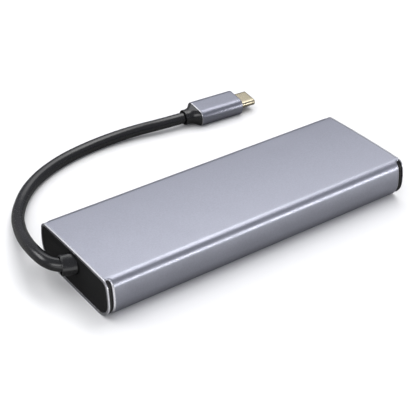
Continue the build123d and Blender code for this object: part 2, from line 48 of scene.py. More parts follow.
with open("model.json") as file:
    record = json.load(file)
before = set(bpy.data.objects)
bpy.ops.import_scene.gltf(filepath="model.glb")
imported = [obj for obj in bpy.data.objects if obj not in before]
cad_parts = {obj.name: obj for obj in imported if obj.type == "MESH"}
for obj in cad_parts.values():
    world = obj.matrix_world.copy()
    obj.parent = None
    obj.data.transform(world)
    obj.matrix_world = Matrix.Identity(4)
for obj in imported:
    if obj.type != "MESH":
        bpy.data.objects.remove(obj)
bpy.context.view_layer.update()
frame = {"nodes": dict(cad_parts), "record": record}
MM = 0.001
BODY = "housing"
LEFT, RIGHT = -1, 1
ENDS = (("left", LEFT), ("right", RIGHT))
SMOOTH_ANGLE = radians(32)


def linear(hex_colour):
    """An sRGB hex colour as linear red, green and blue."""
    srgb = np.array([int(hex_colour[i : i + 2], 16) for i in (1, 3, 5)]) / 255
    return tuple(np.where(srgb <= 0.04045, srgb / 12.92, ((srgb + 0.055) / 1.055) ** 2.4))


# ------------------------------------------------------------------ settings
def size(name, description, millimetres):
    """A length that a user may change, with its default in millimetres."""
    return FloatProperty(
        name=name, description=description, default=millimetres * MM, min=0, unit="LENGTH", precision=5
    )


def slope(name, description, degrees):
    """An angle that a user may change, with its default in degrees from upright."""
    return FloatProperty(name=name, description=description, default=radians(degrees), subtype="ANGLE")


def colour(name, description, hex_colour):
    """A colour that a user may change, with its default as sRGB hex."""
    return FloatVectorProperty(
        name=name, description=description, default=linear(hex_colour), subtype="COLOR", min=0, max=1
    )


class DOCK_PG_body(bpy.types.PropertyGroup):
    """Sizes of the sleeve, its ends and its port windows."""

    crown: size("Top crown", "How far the top's middle stands above its long edges", 0.3)
    bulge: size("Side bulge", "How far the sides' middle stands outside their edges", 1.1)
    upper_corner: size("Upper corner", "Radius of the section's upper corners", 3.3)
    lower_corner: size("Lower corner", "Radius of the section's lower corners", 6.8)
    wall: size("Wall", "Thickness of the extruded wall", 1.2)
    end_chamfer: size("End chamfer", "Diamond-cut edge along the top and the underside", 0.28)
    side_chamfer: size("Side chamfer", "Diamond-cut edge down each notch", 0.62)
    notch_depth: size("Notch depth", "How far the side walls stop short of the ends", 1.35)
    notch_top: slope("Notch top", "Slope of the upper corner where a notch ends", 77)
    notch_foot: slope("Notch foot", "Slope of the lower corner where a notch starts", 68)
    window_gap: size("Window gap", "Clearance between a port and its window", 0.15)
    window_chamfer: size("Window chamfer", "Chamfer round each port window", 0.22)
    lug_recess: size("Lug recess", "How far the caps' lugs lie inside the sleeve's sides", 0.3)
    lug_gap: size("Lug gap", "Clearance on each side of a lug", 0.2)


class DOCK_PG_lead(bpy.types.PropertyGroup):
    """Sizes of the lead, its collar and its plug."""

    diameter: size("Lead diameter", "Outer diameter of the lead", 4.4)
    collar_base: size("Collar base", "Diameter of the collar at the body", 7.1)
    collar_end: size("Collar end", "Diameter of the collar at its rim", 6.7)
    collar_mouth: size("Collar mouth", "Diameter of the socket in the collar", 5.6)
    collar_lip: size("Collar lip", "From the bottom of the collar's socket to its rim", 3.4)
    plug_width: size("Plug width", "Width of the plug's aluminium sleeve", 11.4)
    plug_height: size("Plug height", "Height of the plug's aluminium sleeve", 6.6)
    plug_corner: size("Plug corner", "Corner radius of the plug's aluminium sleeve", 2.8)
    plug_length: size("Plug length", "Length of the plug's aluminium sleeve", 18.6)
    tip_width: size("Tip width", "Width of the USB-C tip", 8.34)
    tip_height: size("Tip height", "Height of the USB-C tip", 2.56)
    tip_length: size("Tip length", "Length of the USB-C tip outside the plug", 6.65)
    segments: IntProperty(name="Segments", description="Facets round a turned piece", default=72, min=16)


class DOCK_PG_finish(bpy.types.PropertyGroup):
    """Colours of the finishes."""

    anodised: colour("Anodised aluminium", "Sleeve of the body", "#BDBFCB")
    plug_anodised: colour("Plug's anodised aluminium", "Sleeve of the plug", "#A9ABB7")
    cut_metal: colour("Cut aluminium", "Diamond-cut edges and rims", "#E4E4E8")
    moulding: colour("Black moulding", "End caps and the plug's nose", "#0C0C0C")
    sheet: colour("Face sheet", "Sheets on the end faces", "#1E1E1E")
    jacket: colour("Lead jacket", "Lead, collar and boot", "#0B0B0C")
    gold: colour("Gold flash", "USB-C tip", "#D2C8AE")
    nickel: colour("Nickel", "Port shells", "#C9C7C2")
    contacts: colour("Contact gold", "Contacts of the ports and the tip", "#E2BC62")
    worn_contacts: colour("Worn contact gold", "The contacts where they rub", "#C99A3C")
    port_black: colour("Black nylon", "Blades of the other ports and the tip's liner", "#1B1B1C")
    blade: colour("Port blade", "Plastic blades of the USB-A ports", "#1D56B5")
    board: colour("Solder mask", "Circuit board", "#0E4A2B")
    floor: colour("Floor", "The surface it stands on", "#F7F7F7")


# ------------------------------------------------------------------ surfaces
def strip_faces(rows, columns, wrap_rows):
    """Quads of a grid of rows by columns. Columns always close on themselves, rows only if asked."""
    row = np.arange(rows if wrap_rows else rows - 1)[:, None]
    column = np.arange(columns)[None, :]
    after_row = (row + 1) % rows
    after_column = (column + 1) % columns
    corners = (
        row * columns + column,
        row * columns + after_column,
        after_row * columns + after_column,
        after_row * columns + column,
    )
    return np.stack(np.broadcast_arrays(*corners), -1).reshape(-1, 4).tolist()


def shell(loops, wrap=False):
    """A closed skin through a stack of closed loops, as (points, faces).

    Point (r, c) of the skin is point c of loop r, so the skin is the ruled surface between each loop and the
    next. With wrap the last loop joins the first. Without it the first and the last loop are filled.
    """
    rows, columns = loops.shape[:2]
    faces = strip_faces(rows, columns, wrap)
    if not wrap:
        faces.append(list(range(columns))[::-1])
        faces.append(list(range((rows - 1) * columns, rows * columns)))
    return loops.reshape(-1, 3), faces


def joined(shells):
    """Several skins as one (points, faces), with nothing merged."""
    points, faces, start = [], [], 0
    for some_points, some_faces in shells:
        points.append(some_points)
        faces.extend([[start + i for i in face] for face in some_faces])
        start += len(some_points)
    return np.concatenate(points), faces


def piece(name, skin, material, stands_for):
    """A mesh object from a skin, riding on the housing and standing for CAD nodes."""
    points, faces = skin
    mesh = bpy.data.meshes.new(name)
    mesh.from_pydata(points.tolist(), [], faces)
    mesh.validate()
    mesh.materials.append(material)
    made = linked(name, mesh)
    shade(mesh)
    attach(made, BODY)
    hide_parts(*stands_for)
    return made


def linked(name, data):
    """A new object in the scene."""
    made = bpy.data.objects.new(name, data)
    bpy.context.scene.collection.objects.link(made)
    return made


class Builder:
    """What the operators share: execute() hands the scene's three groups of settings to build()."""

    def execute(self, context):
        scene = context.scene
        self.build(scene.dock_body, scene.dock_lead, scene.dock_finish)
        return {"FINISHED"}


def shade(mesh):
    """Smooth shading that breaks at real edges."""
    mesh.shade_smooth()
    mesh.set_sharp_from_angle(angle=SMOOTH_ANGLE)


def corner_outline(corners, radii, arc_steps=9, side_steps=5):
    """A convex outline with rounded corners, anticlockwise, as (points, outward normals).

    Each corner is an arc whose centre lies its radius inside both sides. Its points are the centre plus the
    radius times the normal, as the normal turns from one side's to the next. Straight points fill the sides.
    """
    corners = np.asarray(corners, float)
    radii = np.broadcast_to(np.asarray(radii, float), len(corners))
    along_in = corners - np.roll(corners, 1, 0)
    along_in /= np.linalg.norm(along_in, axis=1, keepdims=True)
    along_out = np.roll(along_in, -1, 0)
    turn = np.arccos(np.clip((along_in * along_out).sum(1), -1, 1))
    first_angle = np.arctan2(along_in[:, 1], along_in[:, 0]) - pi / 2
    start = corners - along_in * (radii * np.tan(turn / 2))[:, None]
    inward = np.stack((-along_in[:, 1], along_in[:, 0]), 1)
    centre = start + inward * radii[:, None]
    share = np.linspace(0, 1, arc_steps)
    angle = first_angle[:, None] + turn[:, None] * share
    normal = np.stack((np.cos(angle), np.sin(angle)), -1)
    arc = centre[:, None] + radii[:, None, None] * normal
    step = (np.arange(1, side_steps + 1) / (side_steps + 1))[None, :, None]
    side = arc[:, -1:] * (1 - step) + np.roll(arc, -1, 0)[:, :1] * step
    side_normal = np.repeat(normal[:, -1:], side_steps, 1)
    points = np.concatenate((arc, side), 1).reshape(-1, 2)
    normals = np.concatenate((normal, side_normal), 1).reshape(-1, 2)
    return points, normals


def rounded_box(width, height, corner, **steps):
    """The outline of a rectangle with rounded corners, about its middle."""
    half_w, half_h = width / 2, height / 2
    corners = [(half_w, -half_h), (half_w, half_h), (-half_w, half_h), (-half_w, -half_h)]
    return corner_outline(corners, min(corner, half_w - 1e-6, half_h - 1e-6), **steps)


def stacked(outline, rows, place):
    """Loops of one outline, each moved inwards along its normals and along the third axis of a place.

    rows holds (inset, height) pairs. Loop r is outline - inset * normal, at that height.
    """
    points, normals = outline
    inset, height = np.asarray(rows, float).T
    flat = points[None] - inset[:, None, None] * normals[None]
    lift = np.broadcast_to(height[:, None, None], flat.shape[:2] + (1,))
    return placed(np.concatenate((flat, lift), -1), place)


def placed(points, place):
    """Points given in a place's own axes, turned and moved to where it lies."""
    matrix = np.array(place)
    return points @ matrix[:3, :3].T + matrix[:3, 3]


def eased_edge(width, depth, steps=6, fullness=1.45):
    """A worked edge from the surface to the face beside it, as (back, down) pairs.

    A quarter of a superellipse: back = width (1 - sin^(2/p)), down = depth (1 - cos^(2/p)), p being 1 for a
    chamfer and 2 for a round.
    """
    angle = np.linspace(0, pi / 2, steps)
    back = width * (1 - np.sin(angle) ** (2 / fullness))
    down = depth * (1 - np.clip(np.cos(angle), 0, 1) ** (2 / fullness))
    return np.stack((back, down), 1)


def turned(profile, segments, place):
    """Loops of a turned piece: each (radius, height) of the profile is a circle about the third axis."""
    angle = np.arange(segments) * 2 * pi / segments
    radius, height = np.asarray(profile, float).T
    loops = np.stack(
        (
            radius[:, None] * np.cos(angle),
            radius[:, None] * np.sin(angle),
            np.broadcast_to(height[:, None], (len(radius), segments)),
        ),
        -1,
    )
    return placed(loops, place)


# Points along each run of the section that lengths are measured on, and the steps that its loops take along
# the base, the lower corner, the side, the upper corner and half the crown.
ARC_POINTS = 400
RUN_STEPS = (10, 16, 26, 16, 14)


class Section:
    """The body's cross-section as arcs, walked anticlockwise by length from the middle of the underside.

    Each half is a flat base, a corner arc, a bulged side arc, a corner arc and the crown's arc. A corner's
    centre lies its radius inside both neighbours: it is where circles about their centres, smaller by that
    radius, cross.
    """

    def __init__(self, body):
        low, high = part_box("housing_sleeve")
        self.half_width, self.height, self.half_length = high.y, high.z, high.x
        upper, lower = body.upper_corner, body.lower_corner
        middle = (self.height - body.crown) / 2
        side_radius = (middle**2 + body.bulge**2) / (2 * body.bulge)
        shoulder = self.half_width - body.bulge
        crown_radius = (shoulder**2 + body.crown**2) / (2 * body.crown)
        side_centre = np.array((self.half_width - side_radius, middle))
        crown_centre = np.array((0, self.height - crown_radius))
        across = np.sqrt((side_radius - lower) ** 2 - (lower - middle) ** 2)
        low_centre = side_centre + (across, lower - middle)
        between = side_centre - crown_centre
        apart = np.linalg.norm(between)
        along = ((crown_radius - upper) ** 2 - (side_radius - upper) ** 2 + apart**2) / (2 * apart)
        across = np.sqrt((crown_radius - upper) ** 2 - along**2)
        unit = between / apart
        high_centre = crown_centre + along * unit + across * np.array((unit[1], -unit[0]))

        def heading(offset):
            return np.arctan2(offset[1], offset[0])

        turns = [-pi / 2, heading(low_centre - side_centre), heading(high_centre - side_centre)]
        turns += [heading(high_centre - crown_centre), pi / 2]
        centres = [low_centre, side_centre, high_centre, crown_centre]
        radii = [lower, side_radius, upper, crown_radius]
        base = np.stack((np.linspace(0, low_centre[0], ARC_POINTS), np.zeros(ARC_POINTS)), 1)
        points = [base]
        normals = [np.broadcast_to((0.0, -1.0), base.shape)]
        lengths = [low_centre[0]]
        for centre, radius, start, stop in zip(centres, radii, turns, turns[1:]):
            angle = np.linspace(start, stop, ARC_POINTS)
            normal = np.stack((np.cos(angle), np.sin(angle)), 1)
            points.append(centre + radius * normal)
            normals.append(normal)
            lengths.append(radius * (stop - start))
        self.points = np.concatenate(points)
        self.normals = np.concatenate(normals)
        steps = np.linalg.norm(np.diff(self.points, axis=0), axis=1)
        self.at = np.concatenate(((0,), np.cumsum(steps)))
        self.joints = np.cumsum(lengths)
        self.total = 2 * self.at[-1]
        # Where a notch starts and ends, as lengths round the section.
        self.notch_start = self.joints[0] + lower * (pi / 2 - body.notch_foot)
        self.notch_end = self.joints[2] + upper * (body.notch_top - turns[2])

    def yz(self, length, depth):
        """The section's point at a length round it, moved straight inwards by a depth."""
        length = np.mod(length, self.total)
        mirrored = length > self.total / 2
        folded = np.where(mirrored, self.total - length, length)
        values = [np.interp(folded, self.at, column) for column in (*self.points.T, *self.normals.T)]
        y = values[0] - depth * values[2]
        z = values[1] - depth * values[3]
        return np.where(mirrored, -y, y), z

    def side_y(self, z):
        """Where the rear side's surface is at a height."""
        rising = self.points[:, 1] > 0
        return np.interp(z, self.points[rising, 1], self.points[rising, 0])

    def steps(self):
        """Lengths round the whole section, close together where it bends."""
        marks = np.concatenate(((0,), self.joints))
        half = np.concatenate(
            [np.linspace(a, b, n, endpoint=False) for a, b, n in zip(marks, marks[1:], RUN_STEPS)]
        )
        half = np.append(half, self.total / 2)
        return np.concatenate((half, self.total - half[-2:0:-1]))

    def sideways(self):
        """How far the surface faces sideways at each step: 0 on the top and the base, 1 on the sides."""
        folded = np.minimum(self.steps(), self.total - self.steps())
        return np.interp(folded, self.at, np.abs(self.normals[:, 0]))

    def loops(self, rows):
        """Closed loops round the section, one for each (inset, x) pair. Either may vary by step."""
        around = self.steps()
        made = []
        for inset, x in rows:
            y, z = self.yz(around, inset)
            made.append(np.stack((np.broadcast_to(x, y.shape), y, z), 1))
        return np.array(made)


# ------------------------------------------------------------------ finishes
# Nearly all of Blender's noise lies in this range.
NOISE_RANGE = (0.3, 0.7)


def add(tree, kind, inputs=(), **settings):
    """Add a node, set its attributes, and give each named input its value or link."""
    node = tree.nodes.new(kind)
    for name, value in settings.items():
        setattr(node, name, value)
    for name, value in dict(inputs).items():
        if isinstance(value, bpy.types.NodeSocket):
            tree.links.new(value, node.inputs[name])
        else:
            node.inputs[name].default_value = value
    return node


def blank(name):
    """An empty material and its node tree, with Object coordinates ready.

    The frame's own plain materials go by the names of the slots, so these have an ending of their own.
    """
    name = f"{name}_surface"
    made = bpy.data.materials.get(name)
    if made:
        return made, None, None
    made = bpy.data.materials.new(name)
    made.use_nodes = True
    tree = made.node_tree
    tree.nodes.clear()
    where = add(tree, "ShaderNodeTexCoord").outputs["Object"]
    return made, tree, where


def finish(tree, surface):
    """Connect a shader to the material's output."""
    add(tree, "ShaderNodeOutputMaterial", {"Surface": surface.outputs["BSDF"]})


def rgba(rgb):
    """A colour with full opacity."""
    return (*rgb, 1.0)


def shifted(rgb, factor):
    """A colour made lighter or darker."""
    return rgba(np.clip(np.array(rgb) * factor, 0, 1))


def grain(tree, where, millimetres, detail=2.0):
    """Noise whose lumps are about this many millimetres across."""
    inputs = {"Vector": where, "Scale": 1 / (millimetres * MM), "Detail": detail}
    return add(tree, "ShaderNodeTexNoise", inputs).outputs["Fac"]


def ramped(tree, value, start, stop, low=0.0, high=1.0):
    """A value taken from one range to another, held at both ends."""
    inputs = {"Value": value, "From Min": start, "From Max": stop, "To Min": low, "To Max": high}
    return add(tree, "ShaderNodeMapRange", inputs).outputs["Result"]


def varied(tree, value, low, high):
    """Noise turned into a number between two values."""
    return ramped(tree, value, *NOISE_RANGE, low, high)


def tinted(tree, value, low, high):
    """Noise turned into a colour between two colours."""
    ramp = add(tree, "ShaderNodeValToRGB", {"Fac": value})
    for element, position, shade in zip(ramp.color_ramp.elements, NOISE_RANGE, (low, high)):
        element.position, element.color = position, shade
    return ramp.outputs["Color"]


def bumped(tree, value, millimetres, strength):
    """A bump of this depth in millimetres."""
    inputs = {"Height": value, "Distance": millimetres * MM, "Strength": strength}
    return add(tree, "ShaderNodeBump", inputs).outputs["Normal"]


def grained(name, low, high, roughness, lump, detail=3.0, bump=None, stretch=1.0, **more):
    """A Principled surface whose colour, roughness and relief all follow one noise.

    lump is the size of the noise's lumps in millimetres, and bump the relief's depth in millimetres and its
    strength. A stretch below 1 draws the lumps out along X. more holds other inputs, _ standing for a space.
    """
    made, tree, where = blank(name)
    if tree:
        if stretch < 1:
            scale = (stretch, 1.0, 1.0)
            where = add(tree, "ShaderNodeMapping", {"Vector": where, "Scale": scale}).outputs["Vector"]
        noise = grain(tree, where, lump, detail)
        inputs = {"Base Color": tinted(tree, noise, low, high), "Roughness": varied(tree, noise, *roughness)}
        if bump:
            inputs["Normal"] = bumped(tree, noise, *bump)
        inputs.update({key.replace("_", " "): value for key, value in more.items()})
        finish(tree, add(tree, "ShaderNodeBsdfPrincipled", inputs))
    return made


def anodised_aluminium(name, base_colour):
    """6063 aluminium, bead-blasted and anodised: soft, slightly blue, with a fine even grain."""
    made, tree, where = blank(name)
    if tree:
        # The blasted grain is about 0.1 mm. It is drawn at 0.3 mm so that it shows.
        blast = grain(tree, where, 0.3)
        cloud = grain(tree, where, 6.0, 3.0)
        speck = grain(tree, where, 0.5, 3.0)
        inputs = {
            "Base Color": tinted(tree, speck, shifted(base_colour, 0.95), shifted(base_colour, 1.05)),
            "Metallic": 1.0,
            "Roughness": varied(tree, cloud, 0.35, 0.41),
            "Normal": bumped(tree, blast, 0.001, 0.5),
        }
        finish(tree, add(tree, "ShaderNodeBsdfPrincipled", inputs))
    return made


def cut_aluminium(colours):
    """Bare aluminium cut with a diamond tool: bright, with hair-fine tool marks."""
    low, high = shifted(colours.cut_metal, 0.92), rgba(colours.cut_metal)
    return grained("cut_aluminium", low, high, (0.26, 0.4), 0.25, 1.0, (0.008, 0.5), Metallic=1.0)


def black_abs(colours):
    """Black ABS from a spark-eroded mould: matte, with a fine leathery grain."""
    low, high = shifted(colours.moulding, 0.85), rgba(colours.moulding)
    return grained("black_abs", low, high, (0.42, 0.56), 0.35, bump=(0.02, 0.5), IOR=1.53)


def black_acrylic(colours):
    """Matte-lacquered acrylic sheet: an even near-black with hardly any gloss."""
    low, high = shifted(colours.sheet, 0.95), shifted(colours.sheet, 1.1)
    return grained(
        "black_acrylic", low, high, (0.55, 0.65), 0.5, 2.0, (0.006, 0.4), IOR=1.49, Specular_IOR_Level=0.14
    )


def black_tpe(colours):
    """Thermoplastic elastomer, extruded and moulded: satin black with a soft skin and a clear highlight."""
    low, high = shifted(colours.jacket, 0.85), shifted(colours.jacket, 1.05)
    return grained(
        "black_tpe", low, high, (0.22, 0.28), 0.4, bump=(0.008, 0.5), IOR=1.5, Specular_IOR_Level=1.0
    )


def gold_flash(colours):
    """Steel with a thin gold flash: pale, warm and nearly polished, with faint drawing marks."""
    low, high = shifted(colours.gold, 0.95), rgba(colours.gold)
    return grained("gold_plate", low, high, (0.16, 0.26), 0.3, 2.0, (0.004, 0.4), 0.15, Metallic=1.0)


def contact_gold(colours):
    """Hard gold over nickel on the contacts: deeper in colour than the tip's flash."""
    low, high = rgba(colours.worn_contacts), rgba(colours.contacts)
    return grained("contact_gold", low, high, (0.18, 0.28), 0.5, Metallic=1.0)


def nickel_steel(colours):
    """Nickel-plated pressed steel: satin, slightly warm, with faint rolling marks along the strip."""
    low, high = shifted(colours.nickel, 0.9), rgba(colours.nickel)
    return grained("nickel_steel", low, high, (0.24, 0.36), 0.2, 2.0, (0.005, 0.4), 0.1, Metallic=1.0)


def blade_plastic(name, base_colour):
    """Glass-filled nylon of the port blades: dense colour, slightly mottled, satin."""
    low, high = shifted(base_colour, 0.85), shifted(base_colour, 1.08)
    return grained(name, low, high, (0.38, 0.5), 0.25, bump=(0.01, 0.4), IOR=1.53)


def black_nylon(colours):
    """The same nylon in black, for the blades of the other ports and the tip's liner."""
    return blade_plastic("port_plastic", colours.port_black)


def solder_mask(colours):
    """Glass-fibre laminate under green solder mask: glossy, with copper tracks showing as paler lines."""
    made, tree, where = blank("solder_mask")
    if tree:
        pattern = {
            "Vector": where,
            "Color1": rgba(colours.board),
            "Color2": shifted(colours.board, 1.3),
            "Mortar": shifted(colours.board, 2.2),
            "Scale": 1 / (4.0 * MM),
            "Mortar Size": 0.03,
        }
        tracks = add(tree, "ShaderNodeTexBrick", pattern).outputs
        inputs = {
            "Base Color": tracks["Color"],
            "Roughness": 0.3,
            "IOR": 1.5,
            "Coat Weight": 0.6,
            "Coat Roughness": 0.15,
            "Normal": bumped(tree, tracks["Fac"], 0.03, 0.4),
        }
        finish(tree, add(tree, "ShaderNodeBsdfPrincipled", inputs))
    return made


def plain_part(name, low, high, roughness, metallic=0.0, lump=0.3):
    """A small moulded, pressed or fired electronic part, with the mottle of its own stuff."""
    about = (roughness - 0.05, roughness + 0.05)
    low, high = rgba(linear(low)), rgba(linear(high))
    return grained(name, low, high, about, lump, bump=(0.01, 0.4), Metallic=metallic)


# ------------------------------------------------------------------ body
# Small walls and edges of the body's pieces, in metres.
CUT_DEPTH, BORE_EDGE = 0.5 * MM, 0.12 * MM
PLATE_THICK, PLATE_EASE, PLATE_INSET = 1.6 * MM, 0.2 * MM, 1.25 * MM
LUG_THICK = 0.45 * MM
RIM_INSET, RIM_WIDTH, RIM_EDGE, RIM_BROAD, RIM_DEEP = (n * MM for n in (0.12, 0.9, 0.06, 0.5, 0.3))
SHEET_INSET, SHEET_EASE = 1.27 * MM, 0.1 * MM
# A notch's corners are quarter circles. This share of its depth is the first one's radius.
CONVEX_SHARE = 0.42
# A lug's outline across X is a superellipse of this power.
LUG_POWER = 2.6
# Corners of the port shells, the HDMI shell's taper, and how far a cutting tool runs past the wall.
SHELL_CORNER, CARD_CORNER, HDMI_TAPER, OVERRUN = 0.6 * MM, 0.4 * MM, (1.3 * MM, 1.9 * MM), 1.0 * MM
# A facet leans when its unit normal points outwards along X by more than LEAN and upwards by less than RISE.
LEAN, RISE = 0.12, 0.55


def notch_path(section, body):
    """The sleeve's end edge over half the section, in (length round it, distance from the end).

    It runs along the end, turns in through a convex and a concave quarter circle where the notch starts,
    follows the set-back side wall, and turns out again the same way. Returned with it are its normal into
    the metal and the width of its cut edge.
    """
    convex = CONVEX_SHARE * body.notch_depth
    concave = body.notch_depth - convex
    marks = section.joints
    first, last = section.notch_start, section.notch_end
    angle = np.linspace(0, pi / 2, 9)
    sine, cosine = np.sin(angle), np.cos(angle)
    outer = np.stack((first + convex * sine, convex * (1 - cosine), -sine, cosine), 1)
    inner = np.stack((first + convex + concave * (1 - cosine), convex + concave * sine, -cosine, sine), 1)
    turn_in = np.concatenate((outer, inner[1:]))
    turn_out = turn_in[::-1] * (-1, 1, -1, 1) + (first + last, 0, 0, 0)
    flat = np.concatenate((np.linspace(0, marks[0], 9)[:-1], np.linspace(marks[0], first, 9)[:-1]))
    crown = (np.linspace(last, marks[3], 9)[1:], np.linspace(marks[3], section.total / 2, 12)[1:])
    crown = np.concatenate(crown)
    side = np.linspace(turn_in[-1, 0], turn_out[0, 0], 44)[1:-1]

    def straight(lengths, back):
        return np.stack((lengths, np.full_like(lengths, back), 0 * lengths, 0 * lengths + 1), 1)

    path = np.concatenate(
        (straight(flat, 0), turn_in, straight(side, body.notch_depth), turn_out, straight(crown, 0))
    )
    width = body.end_chamfer + (body.side_chamfer - body.end_chamfer) * path[:, 1] / body.notch_depth
    return path, width


def sleeve_skin(section, body):
    """The sleeve: the section swept along X between two worked ends.

    Point (u, row) lies on the section at the length s(u) + back * n_s(u), moved inwards by the row's depth,
    at the distance x(u) + back * n_x(u) from the end. back and depth run over the cut edge, across the
    wall's end and into the bore.
    """
    half_path, half_width = notch_path(section, body)
    mirrored = half_path[-2:0:-1] * (-1, 1, -1, 1) + (section.total, 0, 0, 0)
    path = np.concatenate((half_path, mirrored))
    width = np.concatenate((half_width, half_width[-2:0:-1]))
    depth = np.minimum(width, CUT_DEPTH)
    rows = [(2.8 * width, 0.0), (1.6 * width, 0.0)]
    rows += [(width * back, depth * down) for back, down in eased_edge(1.0, 1.0)]
    rows += [(0.0, body.wall - BORE_EDGE), (BORE_EDGE, body.wall), (6 * BORE_EDGE, body.wall)]

    def loop(side, back, down):
        y, z = section.yz(path[:, 0] + back * path[:, 2], down)
        x = side * (section.half_length - path[:, 1] - back * path[:, 3])
        return np.stack((x, y, z), 1)

    left = [loop(LEFT, back, down) for back, down in rows]
    right = [loop(RIGHT, back, down) for back, down in rows]
    return shell(np.array(right + left[::-1]), wrap=True)


def port_frames():
    """Each port's width, height and depth, from its CAD shell, and the place of its mouth."""
    ports = {}
    for name in ("usb_a_1_port", "usb_a_2_port", "usb_a_3_port", "hdmi_port", "usb_c_port", "card_socket"):
        low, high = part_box(name)
        ports[name] = (high.x - low.x, high.z - low.z, high.y - low.y, facing_back(low, high, high.y))
    return ports


def facing_back(low, high, y):
    """The place in the middle of a box at a y: first axis -X, second +Z, third +Y, out of the rear side."""
    place = Matrix(((-1, 0, 0), (0, 0, 1), (0, 1, 0))).to_4x4()
    place.translation = ((low.x + high.x) / 2, y, (low.z + high.z) / 2)
    return place


def port_outline(name, width, height, gap=0.0):
    """The outline of a port's shell, grown by a gap: D-shaped, tapered, round-ended or square."""
    half_w, half_h = width / 2, height / 2
    if name == "hdmi_port":
        taper_w, taper_h = HDMI_TAPER
        right = [(half_w - taper_w, -half_h), (half_w, -half_h + taper_h), (half_w, half_h)]
        corners = right + [(-y, z) for y, z in right[::-1]]
        points, normals = corner_outline(corners, SHELL_CORNER)
    else:
        corner = {"usb_c_port": half_h, "card_socket": CARD_CORNER}.get(name, SHELL_CORNER)
        points, normals = rounded_box(width, height, corner)
    return points + gap * normals, normals


def window_cutter(section, body, name, width, height, place):
    """A port window's cutting tool: the port's outline grown by its gap, its chamfer following the side.

    Loop r is the outline moved out by grow(r), at the side's own surface less the depth(r) at each point.
    """
    gap, chamfer = body.window_gap, body.window_chamfer
    if name == "hdmi_port":
        points, normals = rounded_box(width + 2 * gap, height + 2 * gap, SHELL_CORNER + gap)
    else:
        points, normals = port_outline(name, width, height, gap)
    rows = [(0, body.wall + OVERRUN), (0, chamfer), (chamfer, 0), (chamfer + OVERRUN, -OVERRUN)]
    centre = place.translation
    loops = []
    for grow, depth in rows:
        flat = points + grow * normals
        z = centre.z + flat[:, 1]
        y = section.side_y(centre.z + points[:, 1]) - depth
        loops.append(np.stack((centre.x - flat[:, 0], y, z), 1))
    return shell(np.array(loops))


class DOCK_OT_sleeve(Builder, bpy.types.Operator):
    """Build the anodised sleeve, with its notched ends, diamond-cut edges and port windows"""

    bl_idname = "dock.sleeve"
    bl_label = "Sleeve"

    def build(self, body, lead, colours):
        section = Section(body)
        metal = anodised_aluminium("anodised_aluminium", colours.anodised)
        sleeve = piece(
            "aluminium_sleeve", sleeve_skin(section, body), metal, ["housing_sleeve"]
        )
        cutters = [
            window_cutter(section, body, name, width, height, place)
            for name, (width, height, _, place) in port_frames().items()
        ]
        tool_mesh = bpy.data.meshes.new("window_tools")
        points, faces = joined(cutters)
        tool_mesh.from_pydata(points.tolist(), [], faces)
        tool = linked("window_tools", tool_mesh)
        cut = sleeve.modifiers.new("windows", "BOOLEAN")
        cut.object, cut.operation, cut.solver = tool, "DIFFERENCE", "EXACT"
        bpy.context.view_layer.update()
        finished = sleeve.evaluated_get(bpy.context.evaluated_depsgraph_get())
        result = bpy.data.meshes.new_from_object(finished)
        sleeve.modifiers.clear()
        sleeve.data = result
        bpy.data.objects.remove(tool)
        result.materials.append(cut_aluminium(colours))
        mark_cut_edges(result, section, body)
        shade(result)


def mark_cut_edges(mesh, section, body):
    """Give the diamond-cut finish to the chamfers round the sleeve's notches.

    A facet is cut when it leans, and lies near an end but inside the end's own chamfer.
    """
    count = len(mesh.polygons)
    normals = np.empty(count * 3)
    centres = np.empty(count * 3)
    mesh.polygons.foreach_get("normal", normals)
    mesh.polygons.foreach_get("center", centres)
    normals, centres = normals.reshape(-1, 3), centres.reshape(-1, 3)
    from_end = section.half_length - np.abs(centres[:, 0])
    in_notch = (from_end > body.end_chamfer) & (from_end < body.notch_depth + 2 * body.side_chamfer)
    outwards = normals[:, 0] * np.sign(centres[:, 0])
    cut = in_notch & (outwards > LEAN) & (normals[:, 2] < RISE)
    mesh.polygons.foreach_set("material_index", cut.astype(np.int32))


def cap_plate(section, side):
    """The cap's plate inside the sleeve: the section, inset by the wall, as a disc with eased edges."""
    end, eased = section.half_length, PLATE_INSET + PLATE_EASE
    rows = [(eased, end - PLATE_THICK), (PLATE_INSET, end - PLATE_THICK + PLATE_EASE)]
    rows += [(PLATE_INSET, end - PLATE_EASE), (eased, end)]
    return shell(section.loops([(inset, side * x) for inset, x in rows][::side]))


def cap_lug(section, body, side, front):
    """One lug of a cap, filling a notch: a bar with a crowned face along the side, rounded at both ends.

    Across X its loop is a superellipse. Along the section its half width is that of a quarter circle at each
    end, w sqrt(1 - (1 - t)^2), so the bar ends round.
    """
    first = section.notch_start + 0.5 * body.notch_depth
    last = section.notch_end - 0.5 * body.notch_depth
    half = body.notch_depth / 2 - body.lug_gap
    middle = section.half_length - half - body.lug_gap
    share = np.sin(np.linspace(0, pi / 2, 9))[1:]
    straight = np.linspace(first, last, 40)[1:-1]
    lengths = np.concatenate((first - half + half * share, straight, last + half - half * share[::-1]))
    swell = np.sqrt(1 - (1 - share) ** 2)
    width = np.concatenate((swell, np.ones(len(straight)), swell[::-1]))
    angle = np.linspace(0, 2 * pi, 24, endpoint=False)
    waves = np.cos(angle), np.sin(angle)
    across, rise = (np.sign(wave) * np.abs(wave) ** (2 / LUG_POWER) for wave in waves)
    depth = body.lug_recess + LUG_THICK * (1 - rise[None] * np.sqrt(width)[:, None])
    around = lengths if front == RIGHT else section.total - lengths
    y, z = section.yz(np.broadcast_to(around[:, None], depth.shape), depth)
    x = side * middle + half * width[:, None] * across[None]
    loops = np.stack((np.broadcast_to(x, y.shape), y, z), -1)
    return shell(loops if front == RIGHT else loops[::-1])


